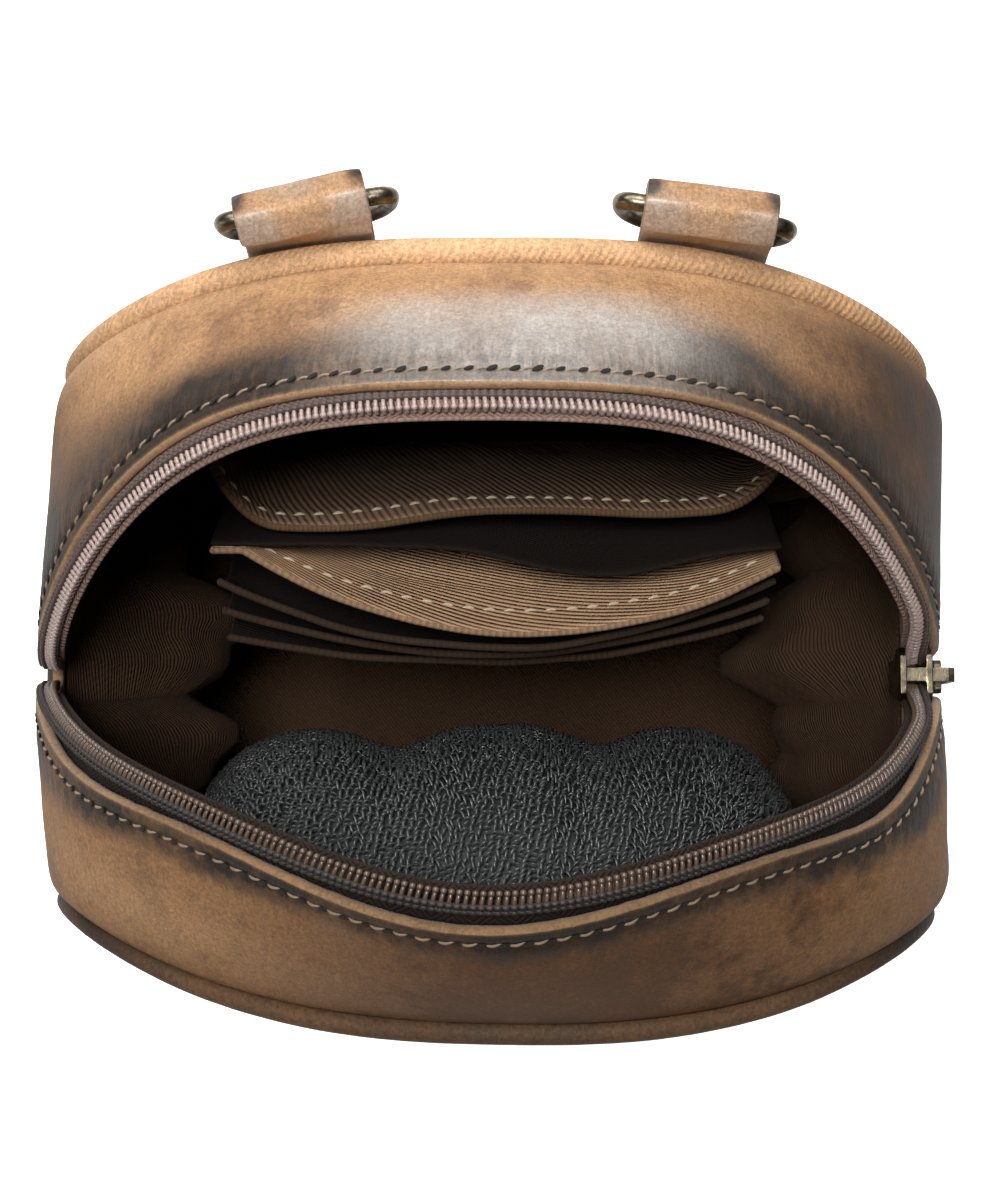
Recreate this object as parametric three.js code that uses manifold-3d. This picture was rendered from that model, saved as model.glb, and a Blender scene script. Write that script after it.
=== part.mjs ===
// A small upright crossbody bag in worn leather, standing with its zip top wide open.
// Millimetres, +Z up, +X to the wearer's side, -Y the front face, +Y the back face with the strap rings.
// The origin is the middle of the flat base.

import * as THREE from 'three';
import { mergeVertices } from 'three/addons/utils/BufferGeometryUtils.js';
import Module from 'manifold-3d';

const wasm = await Module();
wasm.setup();

// ---------------------------------------------------------------- driving dimensions

// The seam outline of the two faces: a flat base, round lower corners, straight sides, arched top.
const SEAM_HALF_WIDTH = 87;
const SEAM_TOP_Z = 190;
const SEAM_BASE_Z = 2.6;
const ARCH_HEIGHT = 54;
const ARCH_POWER = 2.8;
const LOWER_CORNER_RADIUS = 28;

// How far each seam lies from the middle plane, and how the faces bow outwards towards the open top.
const FACES = {
  back: { side: 1, halfDepth: 53, bow: 17.6, bowPower: 2.8, bowStart: 115, twist: 0, rollRadius: 3 },
  front: { side: -1, halfDepth: 46.5, bow: 23.4, bowPower: 2.5, bowStart: 65, twist: 0.02, rollRadius: 2.1 },
};
const FACE_BELLY = 1.5;
const ROLL_START = THREE.MathUtils.degToRad(-35);

// The zip opening. Each leather edge and each coil is an arch that falls away to the zip's ends.
const ZIP_CENTRE_X = -1.5;
const ZIP_LINE_Y = -5;
const SLIDER_PULL_IN = 2.3;
const EDGE_REACH = 88.8;
const EDGE_END_Z = 149.5;
const COIL_REACH = 85.8;
const COIL_END_Z = 152.5;
const ARCHES = {
  edge_back: {
    side: 1, reach: EDGE_REACH, top: 226, low: EDGE_END_Z, end: 3.2,
    spread: 43, power: 3.7, soften: 0.92, billow: 0, twist: 0, pullFrom: 0.9, pullTo: 1,
  },
  edge_front: {
    side: -1, reach: EDGE_REACH, top: 232, low: EDGE_END_Z, end: 3.5,
    spread: 24, power: 9.8, soften: 1.42, billow: 19.1, twist: -0.12, pullFrom: 0.9, pullTo: 1,
  },
  coil_back: {
    side: 1, reach: COIL_REACH, top: 231.5, low: COIL_END_Z, end: 2.3,
    spread: 39.2, power: 3.5, soften: 0.97, billow: 0, twist: 0, pullFrom: 0.75, pullTo: 0.9,
  },
  coil_front: {
    side: -1, reach: COIL_REACH, top: 235, low: COIL_END_Z, end: 2.3,
    spread: 21.6, power: 6.9, soften: 1.19, billow: 17.2, twist: -0.12, pullFrom: 0.75, pullTo: 0.9,
  },
};
const BILLOW_CENTRE_X = -6.5;
const BILLOW_HALF_WIDTH = 74;
const ZIP_END_SEAM_Z = 132;

// Wall thicknesses and the small gap that neighbours keep.
const LEATHER = 2;
const TAPE = 0.9;
const CLOTH = 1;
const GAP = 0.35;

// How far the leather strips stand out from a straight line between their edges.
const GUSSET_SWELL = 2.5;
const CORNER_SWELL_RIGHT = 5.5;
const CORNER_SWELL_LEFT = 2.2;
const STRIP_SWELL_LEFT = 2;
const SIDE_BULGE = 2.6;

const COIL_HALF_WIDTH = 2.1;
const COIL_HALF_HEIGHT = 1.4;

// ---------------------------------------------------------------- materials

const leather = new THREE.MeshStandardMaterial({ color: 0x8a6a50, roughness: 0.5, metalness: 0 });
const tabLeather = new THREE.MeshStandardMaterial({ color: 0x6d625c, roughness: 0.4, metalness: 0 });
const twill = new THREE.MeshStandardMaterial({ color: 0x6b5849, roughness: 0.9, metalness: 0 });
const zipTape = new THREE.MeshStandardMaterial({ color: 0x6d5a55, roughness: 0.85, metalness: 0 });
const zipCoil = new THREE.MeshStandardMaterial({ color: 0x83706a, roughness: 0.35, metalness: 0 });
const meshKnit = new THREE.MeshStandardMaterial({ color: 0x5c5d5f, roughness: 0.95, metalness: 0 });
const brass = new THREE.MeshStandardMaterial({ color: 0x7d7565, roughness: 0.35, metalness: 1 });

// ---------------------------------------------------------------- small helpers

const vec = (x, y, z) => new THREE.Vector3(x, y, z);
const clamp = THREE.MathUtils.clamp;
const smooth = (value, low, high) => THREE.MathUtils.smoothstep(value, low, high);

// A grid of surface points, surface(r, c) with r and c from 0 to 1, as an open indexed sheet.
function sheet(surface, rows, columns) {
  const points = [];
  for (let i = 0; i <= rows; i += 1) {
    for (let j = 0; j <= columns; j += 1) {
      points.push(...surface(i / rows, j / columns).toArray());
    }
  }
  const index = [];
  const at = (i, j) => i * (columns + 1) + j;
  for (let i = 0; i < rows; i += 1) {
    for (let j = 0; j < columns; j += 1) {
      index.push(at(i, j), at(i + 1, j), at(i + 1, j + 1));
      index.push(at(i, j), at(i + 1, j + 1), at(i, j + 1));
    }
  }
  const geometry = new THREE.BufferGeometry();
  geometry.setAttribute('position', new THREE.Float32BufferAttribute(points, 3));
  geometry.setIndex(index);
  return mergeVertices(geometry, 1e-4);
}

function signedVolume(position, index) {
  const [a, b, c] = [vec(), vec(), vec()];
  let sum = 0;
  for (let i = 0; i < index.length; i += 3) {
    a.fromArray(position, index[i] * 3);
    b.fromArray(position, index[i + 1] * 3);
    c.fromArray(position, index[i + 2] * 3);
    sum += a.dot(b.cross(c)) / 6;
  }
  return sum;
}

function solidFrom(position, triangles) {
  const index = signedVolume(position, triangles) < 0 ? [...triangles].reverse() : triangles;
  const geometry = new THREE.BufferGeometry();
  geometry.setAttribute('position', new THREE.Float32BufferAttribute(position, 3));
  geometry.setIndex(index);
  return geometry;
}

// A closed wall behind an open sheet. It grows against the sheet's normals by the thickness, after the
// sheet has been moved the same way by the lift.
function thicken(open, thickness, lift = 0) {
  const all = Array.from(open.index.array);
  const kept = [];
  for (let i = 0; i < all.length; i += 3) {
    const [a, b, c] = all.slice(i, i + 3);
    if (a !== b && b !== c && c !== a) kept.push(a, b, c);
  }
  open.setIndex(kept);
  open.computeVertexNormals();
  const normals = open.attributes.normal.array;
  const outer = Array.from(open.attributes.position.array, (value, i) => value - normals[i] * lift);
  const inner = outer.map((value, i) => value - normals[i] * thickness);
  const count = outer.length / 3;
  const edges = new Map();
  const triangles = [];
  for (let i = 0; i < kept.length; i += 3) {
    const corners = kept.slice(i, i + 3);
    triangles.push(...corners, corners[2] + count, corners[1] + count, corners[0] + count);
    corners.forEach((from, k) => {
      const to = corners[(k + 1) % 3];
      edges.set(`${from},${to}`, [from, to]);
    });
  }
  for (const [from, to] of edges.values()) {
    if (!edges.has(`${to},${from}`)) {
      triangles.push(to, from, from + count, to, from + count, to + count);
    }
  }
  return solidFrom([...outer, ...inner], triangles);
}

// A bar of oval section along a list of stations { centre, across, up }, closed on itself or capped.
function sweep(stations, halfWidth, halfHeight, sides, closed) {
  const position = [];
  for (const { centre, across, up } of stations) {
    for (let k = 0; k < sides; k += 1) {
      const angle = (k / sides) * 2 * Math.PI;
      const point = centre.clone()
        .addScaledVector(across, halfWidth * Math.cos(angle))
        .addScaledVector(up, halfHeight * Math.sin(angle));
      position.push(...point.toArray());
    }
  }
  const count = stations.length;
  const triangles = [];
  const at = (i, k) => (i % count) * sides + (k % sides);
  for (let i = 0; i < (closed ? count : count - 1); i += 1) {
    for (let k = 0; k < sides; k += 1) {
      triangles.push(at(i, k), at(i, k + 1), at(i + 1, k + 1));
      triangles.push(at(i, k), at(i + 1, k + 1), at(i + 1, k));
    }
  }
  if (!closed) {
    for (let k = 1; k < sides - 1; k += 1) {
      triangles.push(at(0, 0), at(0, k + 1), at(0, k));
      triangles.push(at(count - 1, 0), at(count - 1, k), at(count - 1, k + 1));
    }
  }
  return solidFrom(position, triangles);
}

// A flat outline of [across, along] corners, extruded to a plate of the given thickness.
function plate(corners, thickness) {
  const shape = new THREE.Shape(corners.map(([x, y]) => new THREE.Vector2(x, y)));
  return new THREE.ExtrudeGeometry(shape, { depth: thickness, bevelEnabled: false, curveSegments: 6 });
}

function toManifold(geometry) {
  const bare = geometry.clone();
  bare.deleteAttribute('normal');
  bare.deleteAttribute('uv');
  const merged = mergeVertices(bare, 1e-4);
  return new wasm.Manifold(new wasm.Mesh({
    numProp: 3,
    vertProperties: new Float32Array(merged.attributes.position.array),
    triVerts: new Uint32Array(merged.index.array),
  }));
}

function fromManifold(solid) {
  const mesh = solid.getMesh();
  const geometry = new THREE.BufferGeometry();
  geometry.setAttribute('position', new THREE.Float32BufferAttribute(mesh.vertProperties, 3));
  geometry.setIndex(Array.from(mesh.triVerts));
  return geometry;
}

const joined = (geometries) => fromManifold(geometries.map(toManifold).reduce((a, b) => a.add(b)));

function box(width, depth, height, x, y, z) {
  return new THREE.BoxGeometry(width, depth, height).translate(x, y, z);
}

// ---------------------------------------------------------------- the seam outline

// Right half of the outline from the top centre to the base centre, as [x, z] points close together.
const ARCH_STEPS = 120;
const CORNER_STEPS = 24;

function halfOutline() {
  const points = [];
  for (let i = 0; i <= ARCH_STEPS; i += 1) {
    const angle = (i / ARCH_STEPS) * Math.PI / 2;
    const x = SEAM_HALF_WIDTH * Math.sin(angle) ** (2 / ARCH_POWER);
    const z = SEAM_TOP_Z - ARCH_HEIGHT + ARCH_HEIGHT * Math.cos(angle) ** (2 / ARCH_POWER);
    points.push([x, z]);
  }
  for (let i = 0; i <= CORNER_STEPS; i += 1) {
    const angle = (i / CORNER_STEPS) * Math.PI / 2;
    const x = SEAM_HALF_WIDTH - LOWER_CORNER_RADIUS * (1 - Math.cos(angle));
    const z = SEAM_BASE_Z + LOWER_CORNER_RADIUS * (1 - Math.sin(angle));
    points.push([x, z]);
  }
  points.push([0, SEAM_BASE_Z]);
  return points;
}

const outlinePoints = halfOutline();
const outlineLengths = outlinePoints.map(() => 0);
for (let i = 1; i < outlinePoints.length; i += 1) {
  const [x0, z0] = outlinePoints[i - 1];
  const [x1, z1] = outlinePoints[i];
  outlineLengths[i] = outlineLengths[i - 1] + Math.hypot(x1 - x0, z1 - z0);
}
const HALF_LENGTH = outlineLengths[outlineLengths.length - 1];

// The outline at a distance round from the top centre, positive to the right and negative to the left.
// Past the base centre it carries on up the other side. n is the outward direction in the X-Z plane.
function outline(distance) {
  const whole = 2 * HALF_LENGTH;
  const wrapped = ((distance % whole) + whole) % whole;
  const mirrored = wrapped > HALF_LENGTH;
  const length = mirrored ? whole - wrapped : wrapped;
  let i = 1;
  while (i < outlineLengths.length - 1 && outlineLengths[i] < length) i += 1;
  const span = outlineLengths[i] - outlineLengths[i - 1];
  const part = (length - outlineLengths[i - 1]) / span;
  const [x0, z0] = outlinePoints[i - 1];
  const [x1, z1] = outlinePoints[i];
  const sign = mirrored ? -1 : 1;
  const n = vec(-(z1 - z0) * sign, 0, x1 - x0).normalize();
  return { x: sign * THREE.MathUtils.lerp(x0, x1, part), z: THREE.MathUtils.lerp(z0, z1, part), n };
}

// Distances round to the foot of the arch, to the lower corner, and to the level of the zip's ends.
const ARCH_LENGTH = outlineLengths[ARCH_STEPS];
const CORNER_START = outlineLengths[ARCH_STEPS + 1];
const CORNER_END = outlineLengths[ARCH_STEPS + 1 + CORNER_STEPS];
const ZIP_END_DISTANCE = ARCH_LENGTH + SEAM_TOP_Z - ARCH_HEIGHT - ZIP_END_SEAM_Z;

// Distances all the way round the outline, closer together where it turns.
const ARCH_STRETCHES = 11;
const CORNER_STRETCHES = 4;
const BASE_STRETCHES = 2;

function roundStations(sideSteps) {
  const stretches = [
    [0, ARCH_LENGTH, ARCH_STRETCHES],
    [ARCH_LENGTH, CORNER_START, sideSteps],
    [CORNER_START, CORNER_END, CORNER_STRETCHES],
    [CORNER_END, HALF_LENGTH, BASE_STRETCHES],
  ];
  const half = [0];
  for (const [from, to, steps] of stretches) {
    for (let i = 1; i <= steps; i += 1) half.push(THREE.MathUtils.lerp(from, to, i / steps));
  }
  return [...half, ...half.slice(0, -1).reverse().map((distance) => 2 * HALF_LENGTH - distance)];
}

// ---------------------------------------------------------------- the two faces

function faceDepth(face, x, z) {
  const rise = smooth(z, face.bowStart, SEAM_TOP_Z);
  const across = 1 - Math.min(1, Math.abs(x / (SEAM_HALF_WIDTH + 2))) ** face.bowPower;
  return face.halfDepth + face.bow * rise * across + face.twist * -face.side * x * rise;
}

// The valley of the seam, where the face's rolled edge meets the gusset.
function seamPoint(face, distance) {
  const { x, z, n } = outline(distance);
  const inset = face.rollRadius * Math.cos(ROLL_START);
  const depth = faceDepth(face, x - n.x * inset, z - n.z * inset);
  return { point: vec(x, face.side * depth, z), n };
}

// Depth of the face's outer surface inside its rolled rim.
function outerDepth(face, x, z) {
  const across = Math.max(0, 1 - (x / SEAM_HALF_WIDTH) ** 2);
  const belly = FACE_BELLY * across * Math.sin(Math.PI * clamp(z / SEAM_TOP_Z, 0, 1));
  return faceDepth(face, x, z) + face.rollRadius * (1 - Math.sin(ROLL_START)) + belly;
}

const FACE_CENTRE = vec(0, 0, SEAM_TOP_Z / 2);
const FACE_SIDE_STEPS = 4;
const FACE_RINGS = 3;
const ROLL_RINGS = 3;

// A point of the face, part from its centre (0) to where the roll starts (1), less an inset.
function facePoint(face, distance, part, inset) {
  const { point, n } = seamPoint(face, distance);
  const rim = vec(point.x, 0, point.z).addScaledVector(n, -face.rollRadius * Math.cos(ROLL_START) - inset);
  const spot = FACE_CENTRE.clone().lerp(rim, part);
  spot.y = face.side * outerDepth(face, spot.x, spot.z);
  return spot;
}

function facePanel(face) {
  const stations = roundStations(FACE_SIDE_STEPS);
  const radius = face.rollRadius;
  const surface = (r, c) => {
    const distance = stations[Math.round(c * (stations.length - 1))];
    const step = r * (FACE_RINGS + ROLL_RINGS);
    if (step <= FACE_RINGS) return facePoint(face, distance, step / FACE_RINGS, 0);
    const { point, n } = seamPoint(face, distance);
    const angle = THREE.MathUtils.lerp(Math.PI / 2, ROLL_START, (step - FACE_RINGS) / ROLL_RINGS);
    const outwards = radius * (Math.cos(angle) - Math.cos(ROLL_START));
    const spot = vec(point.x, 0, point.z).addScaledVector(n, outwards);
    spot.y = point.y + face.side * radius * (Math.sin(angle) - Math.sin(ROLL_START));
    return spot;
  };
  return thicken(sheet(surface, FACE_RINGS + ROLL_RINGS, stations.length - 1), face.side * LEATHER);
}

// ---------------------------------------------------------------- the zip opening

// A point on one of the arches, u from -1 (left end) to 1 (right end).
function archPoint(arch, u) {
  const angle = u * Math.PI / 2;
  const x = arch.reach * Math.sin(angle);
  const z = arch.low + (arch.top - arch.low) * Math.cos(angle);
  const outwards = Math.min(1, Math.abs(x / arch.reach));
  const spread = arch.spread * (1 - outwards ** arch.power) ** arch.soften;
  const inBillow = Math.min(1, Math.abs(x - BILLOW_CENTRE_X) / BILLOW_HALF_WIDTH);
  const billow = arch.billow * Math.cos(inBillow * Math.PI / 2) ** 2;
  const y = ZIP_LINE_Y + arch.side * (arch.end + spread + billow) + arch.twist * x * (1 - outwards ** 2);
  const pulledIn = SLIDER_PULL_IN * smooth(u, arch.pullFrom, arch.pullTo);
  return vec(ZIP_CENTRE_X + x - pulledIn, y, z);
}

// How far a strip stands out from its chord, as a share of the swell. Near the zip's ends the fullness
// sits close to the seam, so that the middle stays flat for the slider's pull.
const FULLEST_BESIDE_SEAM = 0.15;

function swellShape(w, nearEnd) {
  const besideSeam = w / FULLEST_BESIDE_SEAM;
  const beside = besideSeam * Math.exp(1 - besideSeam) * (1 - w);
  return THREE.MathUtils.lerp(4 * w * (1 - w), beside, nearEnd);
}

// The outer skin of one top half of the gusset: w runs from the seam (0) to the leather edge (1).
function topHalf(face, arch, u, w) {
  const { point } = seamPoint(face, u * ZIP_END_DISTANCE);
  const start = point.clone();
  start.y -= face.side * GAP;
  const edge = archPoint(arch, u);
  const ahead = seamPoint(face, u * ZIP_END_DISTANCE + 1).point.sub(point);
  const normal = ahead.cross(edge.clone().sub(start)).normalize().multiplyScalar(-face.side);
  const nearEnd = Math.abs(u) ** 3;
  const swell = THREE.MathUtils.lerp(GUSSET_SWELL, u > 0 ? CORNER_SWELL_RIGHT : CORNER_SWELL_LEFT, nearEnd);
  return start.lerp(edge, w).addScaledVector(normal, swell * swellShape(w, nearEnd));
}

const TOP_CROSSINGS = [0, 0.15, 0.5, 1];
const TOP_ROWS = TOP_CROSSINGS.length - 1;
const TOP_COLUMNS = 34;

// The same skin as it is faceted in the leather, so that what lies against it follows the facets.
function topFacet(face, arch, u, w) {
  const column = clamp((u + 1) / 2 * TOP_COLUMNS, 0, TOP_COLUMNS - 1e-6);
  const i = Math.floor(column);
  const k = Math.max(0, TOP_CROSSINGS.findIndex((crossing) => crossing >= w) - 1);
  const [near, far] = [TOP_CROSSINGS[k], TOP_CROSSINGS[k + 1]];
  const corner = (di, crossing) => topHalf(face, arch, 2 * (i + di) / TOP_COLUMNS - 1, crossing);
  const low = corner(0, near).lerp(corner(1, near), column - i);
  const high = corner(0, far).lerp(corner(1, far), column - i);
  return low.lerp(high, (w - near) / (far - near));
}

function gussetHalf(face, arch) {
  const surface = (r, c) => topHalf(face, arch, 2 * c - 1, TOP_CROSSINGS[Math.round(r * TOP_ROWS)]);
  return thicken(sheet(surface, TOP_ROWS, TOP_COLUMNS), face.side * LEATHER);
}

// The strip leaves its shape under the zip's ends over END_REACH and lies flat for the pull over the
// distances FLAT_FOR_PULL. On the base its bulge is all within BASE_ROUND of the seams.
const END_REACH = 70;
const FLAT_FOR_PULL = [20, 100];
const BASE_ROUND = 0.15;

// The lower strip: v runs from the back seam (-1) over the middle (0) to the front seam (1), and
// distance runs round the outline from one zip end, under the base, to the other. fullness is the share
// of the swell beside the seam.
function lowerStrip(distance, v, fullness = 1) {
  const face = v < 0 ? FACES.back : FACES.front;
  const arch = v < 0 ? ARCHES.edge_back : ARCHES.edge_front;
  const { point, n } = seamPoint(face, distance);
  const start = point.clone();
  start.y -= face.side * GAP;
  const fromEnd = Math.min(distance, 2 * HALF_LENGTH - distance) - ZIP_END_DISTANCE;
  const nearEnd = 1 - smooth(fromEnd, 0, END_REACH);
  const flatForPull = 1 - smooth(fromEnd, ...FLAT_FOR_PULL);
  const onBase = smooth(-n.z, 0.5, 1);
  const edge = archPoint(arch, distance < HALF_LENGTH ? 1 : -1);
  const bulge = THREE.MathUtils.lerp(SIDE_BULGE, SEAM_BASE_Z, onBase);
  const middle = vec(point.x, (ZIP_LINE_Y + face.side * arch.end) * nearEnd, point.z);
  middle.addScaledVector(n, bulge);
  middle.x = THREE.MathUtils.lerp(middle.x, edge.x, flatForPull);
  middle.z += nearEnd * (edge.z - 2 * GAP - ZIP_END_SEAM_Z);
  const w = 1 - Math.abs(v);
  const reach = Math.min(1, w / THREE.MathUtils.lerp(1, BASE_ROUND, onBase));
  const rounded = bulge * (reach * (2 - reach) - w);
  const swell = fullness * (distance < HALF_LENGTH ? CORNER_SWELL_RIGHT : STRIP_SWELL_LEFT);
  const swollen = swell * swellShape(w, 1);
  return start.lerp(middle, w).addScaledVector(n, THREE.MathUtils.lerp(rounded, swollen, nearEnd));
}

const STRIP_CROSSINGS = [-1, -0.93, -0.85, -0.6, -0.3, -0.001, 0.001, 0.3, 0.6, 0.85, 0.93, 1];
const STRIP_SIDE_STEPS = 8;

// Distances round the lower strip, starting and ending a margin below the zip's ends.
function stripDistances(margin) {
  const first = ZIP_END_DISTANCE + margin;
  const last = 2 * HALF_LENGTH - first;
  const between = roundStations(STRIP_SIDE_STEPS).filter((d) => d > first + 3 && d < last - 3);
  return [first, ...between, last];
}

function gussetBase() {
  const distances = stripDistances(2 * GAP);
  const surface = (r, c) => {
    const distance = distances[Math.round(r * (distances.length - 1))];
    return lowerStrip(distance, STRIP_CROSSINGS[Math.round(c * (STRIP_CROSSINGS.length - 1))]);
  };
  return thicken(sheet(surface, distances.length - 1, STRIP_CROSSINGS.length - 1), -LEATHER);
}

// ---------------------------------------------------------------- zip

const ZIP_STEPS = 30;
const ZIP_FIRST_U = -0.95;
const ZIP_LAST_U = 0.884;
const TAPE_ROOT = 0.86;
const zipU = (c) => THREE.MathUtils.lerp(ZIP_FIRST_U, ZIP_LAST_U, c);

// Where a coil runs, and its directions: across points away from the leather, up stands off the tape.
function coilStation(edgeArch, coilArch, u) {
  const centre = archPoint(coilArch, u);
  const along = archPoint(coilArch, u + 0.01).sub(archPoint(coilArch, u - 0.01)).normalize();
  const up = along.clone().cross(centre.clone().sub(archPoint(edgeArch, u))).normalize();
  up.multiplyScalar(-coilArch.side);
  const across = up.clone().cross(along).multiplyScalar(-coilArch.side);
  return { centre, across, up };
}

function zipTapeSide(face, edgeArch, coilArch) {
  const surface = (r, c) => {
    const u = zipU(c);
    if (r < 0.9) {
      const w = r < 0.4 ? TAPE_ROOT : 1;
      const outer = topFacet(face, edgeArch, u, w);
      const along = topFacet(face, edgeArch, u + 0.03, w).sub(topFacet(face, edgeArch, u - 0.03, w));
      const inwards = topFacet(face, edgeArch, u, w - 0.1).sub(outer).cross(along).normalize();
      return outer.addScaledVector(inwards, face.side * (LEATHER + 1.5 * GAP));
    }
    const { centre, across, up } = coilStation(edgeArch, coilArch, u);
    centre.addScaledVector(across, COIL_HALF_WIDTH / 2);
    return centre.addScaledVector(up, -(COIL_HALF_HEIGHT + GAP));
  };
  return thicken(sheet(surface, 2, ZIP_STEPS), face.side * TAPE);
}

function zipCoilBar(edgeArch, coilArch) {
  const stations = [];
  for (let i = 0; i <= ZIP_STEPS; i += 1) {
    stations.push(coilStation(edgeArch, coilArch, zipU(i / ZIP_STEPS)));
  }
  return sweep(stations, COIL_HALF_WIDTH, COIL_HALF_HEIGHT, 6, false);
}

// The slider stands upright at the right end with its mouth up. Its plates face along X.
const SLIDER_Y = -5;
const SLIDER_LOW_Z = 152;
const SLIDER_HIGH_Z = 166;
const SLIDER_TAIL_HALF = 3.1;
const SLIDER_WAIST_HALF = 3.3;
const SLIDER_WAIST_Z = 158;
const SLIDER_SHOULDER_HALF = 5.2;
const SLIDER_SHOULDER_Z = 162;
const SLIDER_CHAMFER = 1.5;
const SLIDER_PLATE = 1.2;
const SLIDER_INNER_X = 77.9;
const SLIDER_OUTER_X = 83;
const SLIDER_POST_HEIGHT = 4.5;
const SLIDER_POST_DROP = 2.6;
const BAIL_WIDTH = 2.8;
const BAIL_WIRE = 1.2;
const BAIL_LOW_Z = 155;
const BAIL_HIGH_Z = 165;
const BAIL_OUTER_X = 88.8;
const BAIL_BEND = 1.3;
const PULL_THICKNESS = 1.4;
const PULL_X = 86.6;
const PULL_PIVOT_Z = 157.3;
const PULL_EYE_HALF = 3.25;
const PULL_EYE_CHAMFER = 0.8;
const PULL_EYE_LOW_Z = 154.2;
const PULL_WINDOW_HEIGHT = 1.95;
const PULL_WINDOW_Z = 155.62;
const PULL_NECK_HALF = 1.8;
const PULL_NECK_HIGH_Z = 152.4;
const PULL_NECK_LOW_Z = 143;
const PULL_BLADE_HALF = 4.2;
const PULL_BLADE_HIGH_Z = 136;
const PULL_BLADE_LOW_Z = 130;
const PULL_TIP_HALF = 2.6;
const PULL_TIP_Z = 128;

// Half an outline as [half width, z] corners, mirrored about the slider's middle.
function mirrored(half) {
  const other = half.map(([y, z]) => [-y, z]).reverse();
  return [...half, ...other].map(([y, z]) => [y + SLIDER_Y, z]);
}

// A flat outline of [y, z] corners extruded along X from the given x.
function plateAlongX(corners, thickness, x) {
  const basis = new THREE.Matrix4().makeBasis(vec(0, 1, 0), vec(0, 0, 1), vec(1, 0, 0));
  return plate(corners, thickness).applyMatrix4(basis).translate(x, 0, 0);
}

// The bail is a flat bow on the outer plate, open towards the bag, that carries the pull.
function sliderBail() {
  const root = SLIDER_OUTER_X + SLIDER_PLATE / 2;
  const innerX = BAIL_OUTER_X - BAIL_WIRE;
  const outer = [
    [root, BAIL_HIGH_Z], [BAIL_OUTER_X - BAIL_BEND, BAIL_HIGH_Z], [BAIL_OUTER_X, BAIL_HIGH_Z - BAIL_BEND],
    [BAIL_OUTER_X, BAIL_LOW_Z + BAIL_BEND], [BAIL_OUTER_X - BAIL_BEND, BAIL_LOW_Z], [root, BAIL_LOW_Z],
  ];
  const inner = [
    [root, BAIL_LOW_Z + BAIL_WIRE], [innerX, BAIL_LOW_Z + BAIL_WIRE], [innerX, BAIL_HIGH_Z - BAIL_WIRE],
    [root, BAIL_HIGH_Z - BAIL_WIRE],
  ];
  const bail = plate([...outer, ...inner], BAIL_WIDTH);
  bail.applyMatrix4(new THREE.Matrix4().makeBasis(vec(1, 0, 0), vec(0, 0, 1), vec(0, -1, 0)));
  return bail.translate(0, SLIDER_Y + BAIL_WIDTH / 2, 0);
}

function zipSlider() {
  const outline = mirrored([
    [SLIDER_TAIL_HALF, SLIDER_LOW_Z], [SLIDER_WAIST_HALF, SLIDER_WAIST_Z],
    [SLIDER_SHOULDER_HALF, SLIDER_SHOULDER_Z], [SLIDER_SHOULDER_HALF, SLIDER_HIGH_Z - SLIDER_CHAMFER],
    [SLIDER_SHOULDER_HALF - SLIDER_CHAMFER, SLIDER_HIGH_Z],
  ]);
  const inner = plateAlongX(outline, SLIDER_PLATE, SLIDER_INNER_X);
  const outer = plateAlongX(outline, SLIDER_PLATE, SLIDER_OUTER_X);
  const span = SLIDER_OUTER_X - SLIDER_INNER_X;
  const postX = (SLIDER_INNER_X + SLIDER_OUTER_X + SLIDER_PLATE) / 2;
  const post = box(span, BAIL_WIDTH, SLIDER_POST_HEIGHT, postX, SLIDER_Y, SLIDER_HIGH_Z - SLIDER_POST_DROP);
  return joined([inner, outer, post, sliderBail()]);
}

function zipPull() {
  const top = PULL_PIVOT_Z + PULL_THICKNESS / 2;
  const outline = mirrored([
    [PULL_EYE_HALF - PULL_EYE_CHAMFER, top], [PULL_EYE_HALF, top - PULL_EYE_CHAMFER],
    [PULL_EYE_HALF, PULL_EYE_LOW_Z],
    [PULL_NECK_HALF, PULL_NECK_HIGH_Z], [PULL_NECK_HALF, PULL_NECK_LOW_Z],
    [PULL_BLADE_HALF, PULL_BLADE_HIGH_Z], [PULL_BLADE_HALF, PULL_BLADE_LOW_Z], [PULL_TIP_HALF, PULL_TIP_Z],
  ]);
  const blade = plateAlongX(outline, PULL_THICKNESS, PULL_X - PULL_THICKNESS / 2);
  const windowWidth = BAIL_WIDTH + 2 * GAP;
  const window = box(2 * PULL_THICKNESS, windowWidth, PULL_WINDOW_HEIGHT, PULL_X, SLIDER_Y, PULL_WINDOW_Z);
  return fromManifold(toManifold(blade).subtract(toManifold(window)));
}

// ---------------------------------------------------------------- strap tabs and rings

const TAB_LEATHER = 1.7;
const TAB_WIDTH = 24.2;
const TAB_HEIGHTS = [150, 162, 174];
const TAB_PARTS_Z = 187;
const TAB_SEAT_Z = 184;
const REAR_PLY_CLOSES = [[4.6, 189.5], [2.4, TAB_PARTS_Z], [-0.2, TAB_SEAT_Z]];
const REAR_PLY_SEAT_Z = 181;
const TAB_STEPS = 3;
const FOLD_RADIUS = 5;
const FOLD_STEPS = 8;
const PLY_GAP = 0.35;
const RING_WIRE_RADIUS = 1.7;
const RING_HALF_WIDTH = 15.7;
const RING_DROP = 19;
const RING_CORNER = 2.6;
const RING_CORNER_CUT = 0.8;
const RING_FULLNESS = 0.8;
const RING_CURVE_STEPS = 16;
const RING_TILT = THREE.MathUtils.degToRad(4);

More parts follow.
